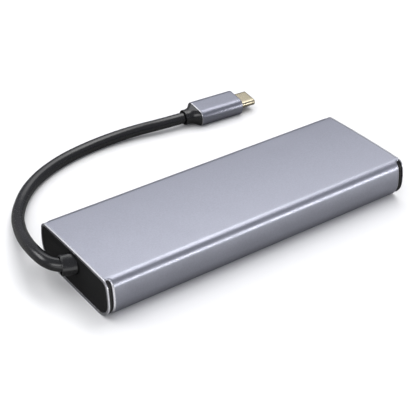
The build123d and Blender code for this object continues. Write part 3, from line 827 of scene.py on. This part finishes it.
class DOCK_OT_end_caps(Builder, bpy.types.Operator):
    """Build the two moulded end caps, with the lugs that fill the sleeve's notches"""

    bl_idname = "dock.end_caps"
    bl_label = "End caps"

    def build(self, body, lead, colours):
        section = Section(body)
        for name, side in ENDS:
            shells = [cap_plate(section, side)]
            shells += [cap_lug(section, body, side, front) for front in (LEFT, RIGHT)]
            node = f"{name}_end_cap"
            piece(f"{name}_cap_moulding", joined(shells), black_abs(colours), [node])


class DOCK_OT_rims(Builder, bpy.types.Operator):
    """Build the bright rims round both end faces"""

    bl_idname = "dock.rims"
    bl_label = "Bright rims"

    def build(self, body, lead, colours):
        """The outer edge is nearly square along the top and broadly rounded down the sides."""
        section = Section(body)
        broad = RIM_EDGE + RIM_BROAD * section.sideways() ** 2
        deep = RIM_EDGE + RIM_DEEP * section.sideways() ** 2
        inner_inset = RIM_INSET + RIM_WIDTH
        for name, side in ENDS:
            node = f"{name}_trim_ring"
            depth = thickness(node)
            edge = [(RIM_INSET + a * broad, depth - b * deep) for a, b in rim_edge(1, 1)]
            rows = [(RIM_INSET, 0.0)] + edge
            rows += [(inner_inset - a, depth - b) for a, b in rim_edge(RIM_EDGE, RIM_EDGE)[::-1]]
            rows += [(inner_inset, 0.0)]
            loops = section.loops([(inset, side * (section.half_length + x)) for inset, x in rows][::side])
            skin = shell(loops, wrap=True)
            piece(f"{name}_bright_rim", skin, cut_aluminium(colours), [node])


def thickness(node):
    """How thick an end piece is, along X."""
    low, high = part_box(node)
    return high.x - low.x


def rim_edge(width, height, steps=6):
    """A rounded edge from a wall to the face above it: a quarter of an ellipse, as (in, below) pairs."""
    angle = np.linspace(0, pi / 2, steps)
    return list(zip(width * (1 - np.cos(angle)), height * (1 - np.sin(angle))))


def collar_place():
    """Where the lead leaves the body: origin at the bottom of the collar's socket, third axis outwards."""
    start, second = Vector(ROUTE[0]) * MM, Vector(ROUTE[1]) * MM
    axis = (second - start).normalized()
    first = Vector((0, 1, 0)) - axis * axis.y
    first.normalize()
    place = Matrix((first, axis.cross(first), axis)).transposed().to_4x4()
    place.translation = start
    return place


class DOCK_OT_face_sheets(Builder, bpy.types.Operator):
    """Build the matte sheets on both end faces, the left one pierced for the collar"""

    bl_idname = "dock.face_sheets"
    bl_label = "Face sheets"

    def build(self, body, lead, colours):
        section = Section(body)
        for name, side in ENDS:
            node = f"{name}_face_plate"
            depth, corner = thickness(node), 0.3 * SHEET_EASE
            rows = [(SHEET_INSET, 0.0), (SHEET_INSET, depth - SHEET_EASE)]
            rows += [(SHEET_INSET + corner, depth - corner), (SHEET_INSET + SHEET_EASE, depth)]
            loops = section.loops([(inset, side * (section.half_length + x)) for inset, x in rows])
            if side == LEFT:
                loops = np.concatenate((loops, pierced(loops, lead.collar_base / 2)))[::-1]
            skin = shell(loops, wrap=side == LEFT)
            piece(f"{name}_face_sheet", skin, black_acrylic(colours), [node])


def pierced(loops, radius):
    """Two circles where the collar passes through the sheet, front then back, matched point by point.

    Each point of the sheet's edge is joined to the circle's point in the same direction from its centre.
    """
    centre = collar_place().translation
    edge = loops[-1][:, 1:] - np.array((centre.y, centre.z))
    angle = np.arctan2(edge[:, 1], edge[:, 0])
    ring = np.stack((np.cos(angle), np.sin(angle)), 1) * radius + np.array((centre.y, centre.z))
    front = np.concatenate((loops[-1][:, :1], ring), 1)
    back = np.concatenate((loops[0][:, :1], ring), 1)
    return np.array((front, back))


# ------------------------------------------------------------------ lead
# The lead's route in millimetres, from the bottom of the collar's socket to the boot.
ROUTE = [
    (-60.0, 0.2, 10.05),
    (-62.4, 0.9, 10.15),
    (-64.7, 3.1, 10.3),
    (-65.9, 6.6, 10.3),
    (-65.9, 12.6, 9.8),
    (-64.6, 20.6, 8.0),
    (-61.6, 31.4, 5.0),
    (-56.0, 45.2, 2.5),
    (-44.2, 58.8, 2.25),
    (-28.5, 66.8, 2.25),
    (-11.5, 70.0, 2.25),
    (4.8, 69.5, 2.8),
]
PLUG_ORIGIN = Vector((31.9, 65.4)) * MM
PLUG_YAW, PLUG_ROLL = radians(-3.5), radians(4.5)
BOOT_REACH, BOOT_SOCKET, LAST_RUN = 5.4 * MM, 1.8 * MM, 9.0 * MM
# The boot's outer and mouth radii, and how far it stays inside the plug's outline.
BOOT_RADIUS, BOOT_MOUTH, BOOT_STEP = 2.95 * MM, 2.5 * MM, 0.3 * MM
PLUG_WALL, PLUG_CUT, NOSE_RECESS = 0.7 * MM, 0.26 * MM, 0.3 * MM
# How deep the tip reaches into the plug, its wall, its front edge, and the opening in its liner.
TIP_ROOT, TIP_WALL, TIP_LIP, TIP_SLOT = 4.0 * MM, 0.3 * MM, 0.32 * MM, (6.9 * MM, 0.8 * MM, 0.2 * MM)
COLLAR_ROOT, COLLAR_HUB = 1.5 * MM, 0.6 * MM
FINE = {"arc_steps": 16, "side_steps": 8}


def plug_place(lead):
    """The middle of the plug's rear face: first axis across it, second up, third towards the tip.

    The plug lies on the round of its lower front edge, tipped about its own length, so its middle stands at
    (w/2 - r) sin(roll) + (h/2 - r) cos(roll) + r above the floor.
    """
    axis = Vector((cos(PLUG_YAW), sin(PLUG_YAW), 0))
    across = Vector((-sin(PLUG_YAW) * cos(PLUG_ROLL), cos(PLUG_YAW) * cos(PLUG_ROLL), sin(PLUG_ROLL)))
    corner = lead.plug_corner
    height = (lead.plug_width / 2 - corner) * sin(PLUG_ROLL)
    height += (lead.plug_height / 2 - corner) * cos(PLUG_ROLL) + corner
    place = Matrix((across, axis.cross(across), axis)).transposed().to_4x4()
    place.translation = (PLUG_ORIGIN.x, PLUG_ORIGIN.y, height)
    return place


def lead_route(lead):
    """The control points of the lead, in metres. The last two make a straight run into the boot."""
    place = plug_place(lead)
    axis = place.col[2].xyz
    end = place.translation - axis * (BOOT_REACH - BOOT_SOCKET)
    return [Vector(point) * MM for point in ROUTE] + [end - axis * LAST_RUN, end]


class DOCK_OT_collar(Builder, bpy.types.Operator):
    """Turn the collar that the lead leaves through"""

    bl_idname = "dock.collar"
    bl_label = "Collar"

    def build(self, body, lead, colours):
        base, end, mouth = lead.collar_base / 2, lead.collar_end / 2, lead.collar_mouth / 2
        lip, edge, tiny = lead.collar_lip, 0.2 * MM, 0.02 * MM
        rise = np.linspace(0, 1, 9)
        root = [(tiny, -COLLAR_ROOT), (base - edge, -COLLAR_ROOT)]
        root += [(base, edge - COLLAR_ROOT), (base, -4 * edge)]
        outer = np.stack((base + (end - base) * rise**1.3, (lip + 0.25 * MM) * rise - COLLAR_HUB), 1)
        rim = [(end - a, lip - b) for a, b in rim_edge(0.3 * MM, 0.35 * MM, 7)]
        mouth_edge = [(mouth + a, lip - b) for a, b in rim_edge(0.16 * MM, 0.16 * MM, 4)[::-1]]
        floor = [(mouth - 0.1 * MM, 0.3 * MM), (mouth - 0.35 * MM, 0.04 * MM)]
        floor += [(mouth - 4 * edge, 0), (tiny, 0)]
        loops = turned(root + outer.tolist() + rim + mouth_edge + floor, lead.segments, collar_place())
        piece("lead_collar", shell(loops), black_tpe(colours), ["cable_collar"])


class DOCK_OT_lead(Builder, bpy.types.Operator):
    """Lay the lead as one smooth spline from the collar to the boot"""

    bl_idname = "dock.lead"
    bl_label = "Lead"

    def build(self, body, lead, colours):
        points = lead_route(lead)
        curve = bpy.data.curves.new("lead", "CURVE")
        curve.dimensions = "3D"
        curve.bevel_depth = lead.diameter / 2
        curve.bevel_resolution = 8
        curve.resolution_u = 16
        curve.use_fill_caps = True
        spline = curve.splines.new("NURBS")
        spline.points.add(len(points) - 1)
        for knot, point in zip(spline.points, points):
            knot.co = (*point, 1.0)
        spline.order_u = 3
        spline.use_endpoint_u = True
        made = linked("lead", curve)
        curve.materials.append(black_tpe(colours))
        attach(made, BODY)
        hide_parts("cable")


class DOCK_OT_boot(Builder, bpy.types.Operator):
    """Loft the boot from its round mouth to the plug's outline"""

    bl_idname = "dock.boot"
    bl_label = "Boot"

    def build(self, body, lead, colours):
        """Each loop is (1 - f) circle + f plug outline, f being t^2.6 along it, drawn in at the waist."""
        steps = {"arc_steps": 13, "side_steps": 4}
        circle = rounded_box(2 * BOOT_RADIUS, 2 * BOOT_RADIUS, BOOT_RADIUS, **steps)
        wide, high = lead.plug_width - BOOT_STEP, lead.plug_height - BOOT_STEP
        end = rounded_box(wide, high, lead.plug_corner - BOOT_STEP / 2, **steps)
        share = np.linspace(0, 1, 22)[:, None, None]
        flare = share**2.6
        waist = -0.12 * MM * np.sin(pi * share) ** 2
        rows = circle[0] * (1 - flare) + end[0] * flare + waist * circle[1]
        height = -BOOT_REACH + 0.35 * MM + (BOOT_REACH - 0.4 * MM) * share
        outer = np.concatenate((rows, np.broadcast_to(height, rows.shape[:2] + (1,))), -1)
        mouth = BOOT_RADIUS - BOOT_MOUTH
        lip = [(mouth + 0.1 * MM, BOOT_SOCKET), (mouth, 0.2 * MM), (mouth - 0.1 * MM, 0.05 * MM)]
        lip += [(0.25 * MM, 0.0), (0.08 * MM, 0.06 * MM), (0.0, 0.2 * MM)]
        lip = stacked(circle, [(inset, up - BOOT_REACH) for inset, up in lip], Matrix.Identity(4))
        loops = placed(np.concatenate((lip, outer)), plug_place(lead))
        piece("plug_boot_moulding", shell(loops), black_tpe(colours), ["plug_boot"])


def tip_outline(lead):
    """The USB-C tip's outline, with round ends."""
    return rounded_box(lead.tip_width, lead.tip_height, lead.tip_height / 2, **FINE)


class DOCK_OT_plug(Builder, bpy.types.Operator):
    """Build the plug's anodised sleeve and its black nose"""

    bl_idname = "dock.plug"
    bl_label = "Plug"

    def build(self, body, lead, colours):
        place = plug_place(lead)
        long, cut, wall, inner = lead.plug_length, PLUG_CUT, PLUG_WALL, 0.08 * MM
        outline = rounded_box(lead.plug_width, lead.plug_height, lead.plug_corner, **FINE)
        edge = eased_edge(cut, cut, 5, 1.2)
        rear = [(down, back) for back, down in edge[::-1]]
        rows = rear + [(0, 2.5 * cut), (0, long - 2.5 * cut)] + [(down, long - back) for back, down in edge]
        rows += [(wall - inner, long), (wall, long - inner), (wall, inner), (wall - inner, 0)]
        metal = anodised_aluminium("plug_aluminium", colours.plug_anodised)
        skin = shell(stacked(outline, rows, place), wrap=True)
        made = piece("plug_sleeve", skin, metal, ["plug_shell"])
        made.data.materials.append(cut_aluminium(colours))
        on_rear_edge = np.arange(len(made.data.polygons)) < (len(rear) - 1) * len(outline[0])
        made.data.polygons.foreach_set("material_index", on_rear_edge.astype(np.int32))
        front, ease, gap = long - NOSE_RECESS, 0.15 * MM, 0.02 * MM
        nose = [(wall, NOSE_RECESS), (wall, front - ease), (wall + ease, front)]
        hole = [(-6 * gap, front), (-gap, front - 5 * gap), (-gap, NOSE_RECESS)]
        loops = np.concatenate((stacked(outline, nose, place), stacked(tip_outline(lead), hole, place)))
        piece("plug_nose", shell(loops, wrap=True), black_abs(colours), ["plug_core"])


class DOCK_OT_tip(Builder, bpy.types.Operator):
    """Build the gold tip of the plug and the insulator inside it"""

    bl_idname = "dock.tip"
    bl_label = "USB-C tip"

    def build(self, body, lead, colours):
        place = plug_place(lead)
        root, end = lead.plug_length - TIP_ROOT, lead.plug_length + lead.tip_length
        outline, small = tip_outline(lead), 0.05 * MM
        rows = [(0, root), (0, end - 3 * TIP_LIP)]
        rows += [(down, end - back) for back, down in eased_edge(TIP_LIP, 4 * small, 7, 2.0)]
        rows += [(TIP_WALL, end), (TIP_WALL + small, end - 2 * small), (TIP_WALL + small, root)]
        skin = shell(stacked(outline, rows, place), wrap=True)
        piece("usb_c_tip", skin, gold_flash(colours), ["plug_tip"])
        inset, face = TIP_WALL + 0.06 * MM, end - TIP_WALL
        liner = stacked(outline, [(inset, root), (inset, face), (inset + 2 * small, face + small)], place)
        slot_rows = [(-4 * small, face + small), (0, face - 5 * small), (0, root + 10 * small)]
        slot = stacked(rounded_box(*TIP_SLOT, **FINE), slot_rows, place)
        skin = shell(np.concatenate((liner, slot)))
        piece("tip_liner", skin, black_nylon(colours), ["tip_insulator"])


# ------------------------------------------------------------------ ports
SHELL_WALL, CARD_WALL, SHELL_FLOOR = 0.3 * MM, 0.2 * MM, 1.5 * MM
BLADE_EASE = 0.2 * MM
# A leaf spring's width, thickness and bow, and where it starts and how far it runs into the port.
SPRING_WIDE, SPRING_THICK, SPRING_BOW = 2.0 * MM, 0.2 * MM, 0.55 * MM
SPRING_START, SPRING_RUN = 1.0 * MM, 6.5 * MM


def port_shell(name, width, height, depth, place):
    """A drawn shell: its outline carried from the back to a rolled mouth and back inside to its floor."""
    outline = port_outline(name, width, height)
    wall = CARD_WALL if name == "card_socket" else SHELL_WALL
    small = 0.03 * MM
    rows = [(5 * small, -depth), (0, -depth + 5 * small), (0, -4 * small), (small, -small)]
    rows += [(wall / 2, 0), (wall - small, -small), (wall, -4 * small), (wall, SHELL_FLOOR - depth)]
    return shell(stacked(outline, rows, place))


def blade(node):
    """A port's plastic blade: a box along Y with eased long edges and a tapered front, from its CAD box."""
    low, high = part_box(node)
    width, height, reach = high.x - low.x, high.z - low.z, high.y - low.y
    ease = min(BLADE_EASE, 0.2 * height)
    rows = [(0, 0), (0, reach - 3 * ease), (0.35 * ease, reach - ease), (1.1 * ease, reach)]
    return shell(stacked(rounded_box(width, height, ease), rows, facing_back(low, high, low.y)))


def leaf_springs(width, height, place):
    """Four leaf springs inside a USB-A mouth: thin strips that bow inwards by b sin(pi t)^1.5."""
    shells = []
    share = np.linspace(0, 1, 15)[:, None]
    corners = np.array(((-1, -1), (1, -1), (1, 1), (-1, 1))) * (SPRING_WIDE / 2, SPRING_THICK / 2)
    inwards = SHELL_WALL + SPRING_THICK / 2 + SPRING_BOW * np.sin(pi * share) ** 1.5
    y = np.broadcast_to(-SPRING_START - SPRING_RUN * share, (len(share), 4))
    for up in (-1, 1):
        for across in (-1, 1):
            x = corners[:, 0] * (1 - 0.35 * share) + across * width / 4
            z = corners[:, 1] + up * (height / 2 - inwards)
            shells.append(shell(placed(np.stack((x, z, y), -1)[::-1], place)))
    return shells


class DOCK_OT_usb_a_ports(Builder, bpy.types.Operator):
    """Build the three USB-A ports: shells, leaf springs and blades"""

    bl_idname = "dock.usb_a_ports"
    bl_label = "USB-A ports"

    def build(self, body, lead, colours):
        blue = blade_plastic("usb3_plastic", colours.blade)
        for name, (width, height, depth, place) in port_frames().items():
            if name.startswith("usb_a"):
                short, node = name.removesuffix("_port"), name.replace("port", "tongue")
                skins = [port_shell(name, width, height, depth, place)] + leaf_springs(width, height, place)
                piece(f"{short}_drawn_shell", joined(skins), nickel_steel(colours), [name])
                piece(f"{short}_blade", blade(node), blue, [node])


class DOCK_OT_video_and_power_ports(Builder, bpy.types.Operator):
    """Build the HDMI port and the USB-C power port"""

    bl_idname = "dock.video_and_power_ports"
    bl_label = "HDMI and USB-C ports"

    def build(self, body, lead, colours):
        for name in ("hdmi_port", "usb_c_port"):
            short, node = name.removesuffix("_port"), name.replace("port", "tongue")
            skin = port_shell(name, *port_frames()[name])
            piece(f"{short}_drawn_shell", skin, nickel_steel(colours), [name])
            piece(f"{short}_blade", blade(node), black_nylon(colours), [node])


class DOCK_OT_card_slot(Builder, bpy.types.Operator):
    """Build the memory card socket"""

    bl_idname = "dock.card_slot"
    bl_label = "Card slot"

    def build(self, body, lead, colours):
        skin = port_shell("card_socket", *port_frames()["card_socket"])
        piece("card_slot_shell", skin, nickel_steel(colours), ["card_socket"])


# ------------------------------------------------------------------ parts kept from the frame
class DOCK_OT_inner_parts(Builder, bpy.types.Operator):
    """Give the board, the chips, the contacts and the other inner parts their finishes"""

    bl_idname = "dock.inner_parts"
    bl_label = "Inner parts"

    def build(self, body, lead, colours):
        finishes = {
            "solder_mask": solder_mask(colours),
            "contact_gold": contact_gold(colours),
            "nickel_steel": nickel_steel(colours),
            "black_abs": black_abs(colours),
            "black_acrylic": black_acrylic(colours),
            "black_tpe": black_tpe(colours),
            "anodised_aluminium": anodised_aluminium("anodised_aluminium", colours.anodised),
            "cut_aluminium": cut_aluminium(colours),
            "gold_plate": gold_flash(colours),
            "port_plastic": black_nylon(colours),
            "usb3_plastic": blade_plastic("usb3_plastic", colours.blade),
            "black_steel": plain_part("black_steel", "#1C1C1E", "#2C2C30", 0.4, 0.9),
            "chip_epoxy": plain_part("chip_epoxy", "#1A1A1B", "#262628", 0.55),
            "ferrite": plain_part("ferrite", "#38383A", "#4A4A4C", 0.6),
            "ceramic": plain_part("ceramic", "#8A6B4A", "#A5835C", 0.4),
            "silicone_pad": plain_part("silicone_pad", "#7A8FB5", "#90A3C4", 0.7, lump=1.0),
            "wire_pvc": plain_part("wire_pvc", "#8E1F1F", "#A52A28", 0.45),
        }
        for part in frame["record"]["subparts"]:
            node = frame["nodes"].get(part["node"])
            if node:
                node.data.materials.clear()
                node.data.materials.append(finishes[part["material_slot"]])


# ------------------------------------------------------------------ stage
FLOOR_HALF = 20.0
# Where the painted reflection that metal sees in place of the floor changes: past the body's left end and
# past its front, in metres.
PAINTED_REFLECTION_LEFT, PAINTED_REFLECTION_FRONT = (-0.0575, -0.0605), (-0.0175, -0.0215)
# How bright the painted reflection is: painted shade beneath and in front of the body, and how much a
# painted highlight adds at the front left.
PAINTED_SHADE_LEVELS, PAINTED_HIGHLIGHT_LEVEL = (0.2, 0.25), 0.5
ROOM_COLOUR, ROOM_STRENGTH = "#F2F4FF", 0.3
# Each light's azimuth and elevation in degrees, its distance, width and height in metres, and its radiance.
LIGHTS = (
    ("back_panel", 50, 46, 1.2, 1.1, 0.55, 1.1),
    ("shoulder_panel", 14, 64, 1.2, 0.7, 0.36, 2.7),
    ("front_strip", -60, 5.5, 1.0, 1.3, 0.13, 6.5),
    ("left_back_panel", 132, 30, 1.0, 0.6, 0.35, 2.6),
    ("left_front_panel", -148, 24, 1.0, 0.7, 0.45, 1.8),
    ("table_fill", 30, 84, 1.4, 2.4, 2.4, 1.3),
)
LIT_POINT = Vector((0, 0, 0.01))
CAMERA_AT, CAMERA_LOOKS, CAMERA_LENS = (-0.1882, -0.2519, 0.2166), (0.4834, 0.6780, -0.5537), 98.15


def softbox(name, azimuth, elevation, distance, width, height, radiance, glossy):
    """A flat soft light at an azimuth from +X and an elevation, facing the lit point.

    Its power is its radiance times pi times its area.
    """
    turn, rise = radians(azimuth), radians(elevation)
    away = Vector((cos(rise) * cos(turn), cos(rise) * sin(turn), sin(rise)))
    lamp = bpy.data.lights.new(name, "AREA")
    lamp.shape, lamp.size, lamp.size_y = "RECTANGLE", width, height
    lamp.energy = radiance * pi * width * height
    made = linked(name, lamp)
    made.location = LIT_POINT + away * distance
    made.rotation_euler = away.to_track_quat("Z", "Y").to_euler()
    made.visible_camera = False
    made.visible_glossy = glossy


class DOCK_OT_stage(Builder, bpy.types.Operator):
    """Set the pale floor, the soft lights and the camera"""

    bl_idname = "dock.stage"
    bl_label = "Stage"

    def build(self, body, lead, colours):
        scene = bpy.context.scene
        scene.view_settings.view_transform = "Standard"
        mesh = bpy.data.meshes.new("floor")
        corners = [(x * FLOOR_HALF, y * FLOOR_HALF, 0) for x, y in ((-1, -1), (1, -1), (1, 1), (-1, 1))]
        mesh.from_pydata(corners, [], [(0, 1, 2, 3)])
        mesh.materials.append(self.floor_paint(colours))
        floor = linked("floor", mesh)
        self.light(scene)
        self.camera(scene)

    def floor_paint(self, colours):
        """White table laminate. Metal sees it dimmer than the eye does: glossy rays see a painted grey in
        its place, painted shade that stands in for the body's shadow and for black flags round the set,
        which are not there.

        The painted shade is darkest beside the body, and a painted highlight makes it bright only past the
        front left corner.
        """
        made, tree, where = blank("white_laminate")
        place = add(tree, "ShaderNodeSeparateXYZ", {"Vector": where}).outputs
        speck = grain(tree, where, 30.0, 2.0)
        seen = add(
            tree, "ShaderNodeBsdfPrincipled",
            {"Base Color": rgba(colours.floor), "Roughness": varied(tree, speck, 0.2, 0.24), "IOR": 1.3},
        )
        # Painted reflection: a grey made from position, painted shade beside the body and a painted
        # highlight past its front left corner.
        left = ramped(tree, place["X"], *PAINTED_REFLECTION_LEFT)
        front = ramped(tree, place["Y"], *PAINTED_REFLECTION_FRONT)
        corner = add(tree, "ShaderNodeMath", {0: left, 1: front}, operation="MULTIPLY").outputs[0]
        level = ramped(tree, front, 0.0, 1.0, *PAINTED_SHADE_LEVELS)
        level = add(
            tree, "ShaderNodeMath", {0: corner, 1: PAINTED_HIGHLIGHT_LEVEL, 2: level}, operation="MULTIPLY_ADD"
        ).outputs[0]
        ends = {"Factor": level, "A": rgba((0, 0, 0)), "B": rgba((1, 1, 1))}
        grey = add(tree, "ShaderNodeMix", ends, data_type="RGBA")
        # Glossy rays see this painted grey in place of the floor: painted shade with a painted highlight at
        # the front left.
        painted_reflection = add(tree, "ShaderNodeBsdfDiffuse", {"Color": grey.outputs["Result"]})
        ray = add(tree, "ShaderNodeLightPath").outputs["Is Glossy Ray"]
        both = {0: ray, 1: seen.outputs["BSDF"], 2: painted_reflection.outputs["BSDF"]}
        mixed = add(tree, "ShaderNodeMixShader", both)
        add(tree, "ShaderNodeOutputMaterial", {"Surface": mixed.outputs["Shader"]})
        return made

    def light(self, scene):
        """A dim, slightly blue room and the soft lights."""
        world = bpy.data.worlds.new("studio")
        scene.world = world
        world.use_nodes = True
        room = world.node_tree.nodes["Background"].inputs
        room["Color"].default_value = rgba(linear(ROOM_COLOUR))
        room["Strength"].default_value = ROOM_STRENGTH
        for name, *numbers in LIGHTS:
            softbox(name, *numbers, glossy=name != "table_fill")

    def camera(self, scene):
        """A long lens, above and in front of the lead's end."""
        data = bpy.data.cameras.new("camera")
        data.sensor_width, data.lens = 36.0, CAMERA_LENS
        data.clip_start, data.clip_end = 0.01, 20.0
        made = linked("camera", data)
        made.location = CAMERA_AT
        made.rotation_euler = Vector(CAMERA_LOOKS).to_track_quat("-Z", "Y").to_euler()
        scene.camera = made


# ------------------------------------------------------------------ add-on
class DOCK_PT_pieces(bpy.types.Panel):
    """The pieces of the docking station, in the order they are built"""

    bl_idname = "DOCK_PT_pieces"
    bl_label = "Docking station"
    bl_space_type = "VIEW_3D"
    bl_region_type = "UI"
    bl_category = "Dock"

    def draw(self, context):
        for settings in (context.scene.dock_body, context.scene.dock_lead, context.scene.dock_finish):
            box = self.layout.box()
            for name in settings.__annotations__:
                box.prop(settings, name)
        for operator in OPERATORS:
            self.layout.operator(operator.bl_idname)


OPERATORS = (
    DOCK_OT_sleeve,
    DOCK_OT_end_caps,
    DOCK_OT_rims,
    DOCK_OT_face_sheets,
    DOCK_OT_collar,
    DOCK_OT_boot,
    DOCK_OT_plug,
    DOCK_OT_tip,
    DOCK_OT_lead,
    DOCK_OT_usb_a_ports,
    DOCK_OT_video_and_power_ports,
    DOCK_OT_card_slot,
    DOCK_OT_inner_parts,
    DOCK_OT_stage,
)
SETTINGS = (("dock_body", DOCK_PG_body), ("dock_lead", DOCK_PG_lead), ("dock_finish", DOCK_PG_finish))


def register():
    for name, group in SETTINGS:
        bpy.utils.register_class(group)
        setattr(bpy.types.Scene, name, PointerProperty(type=group))
    for operator in OPERATORS:
        bpy.utils.register_class(operator)
    bpy.utils.register_class(DOCK_PT_pieces)


def unregister():
    bpy.utils.unregister_class(DOCK_PT_pieces)
    for operator in reversed(OPERATORS):
        bpy.utils.unregister_class(operator)
    for name, group in reversed(SETTINGS):
        delattr(bpy.types.Scene, name)
        bpy.utils.unregister_class(group)


def main():
    """Build every piece in order."""
    register()
    for operator in OPERATORS:
        group, name = operator.bl_idname.split(".")
        getattr(getattr(bpy.ops, group), name)()


if __name__ == "__main__":
    main()
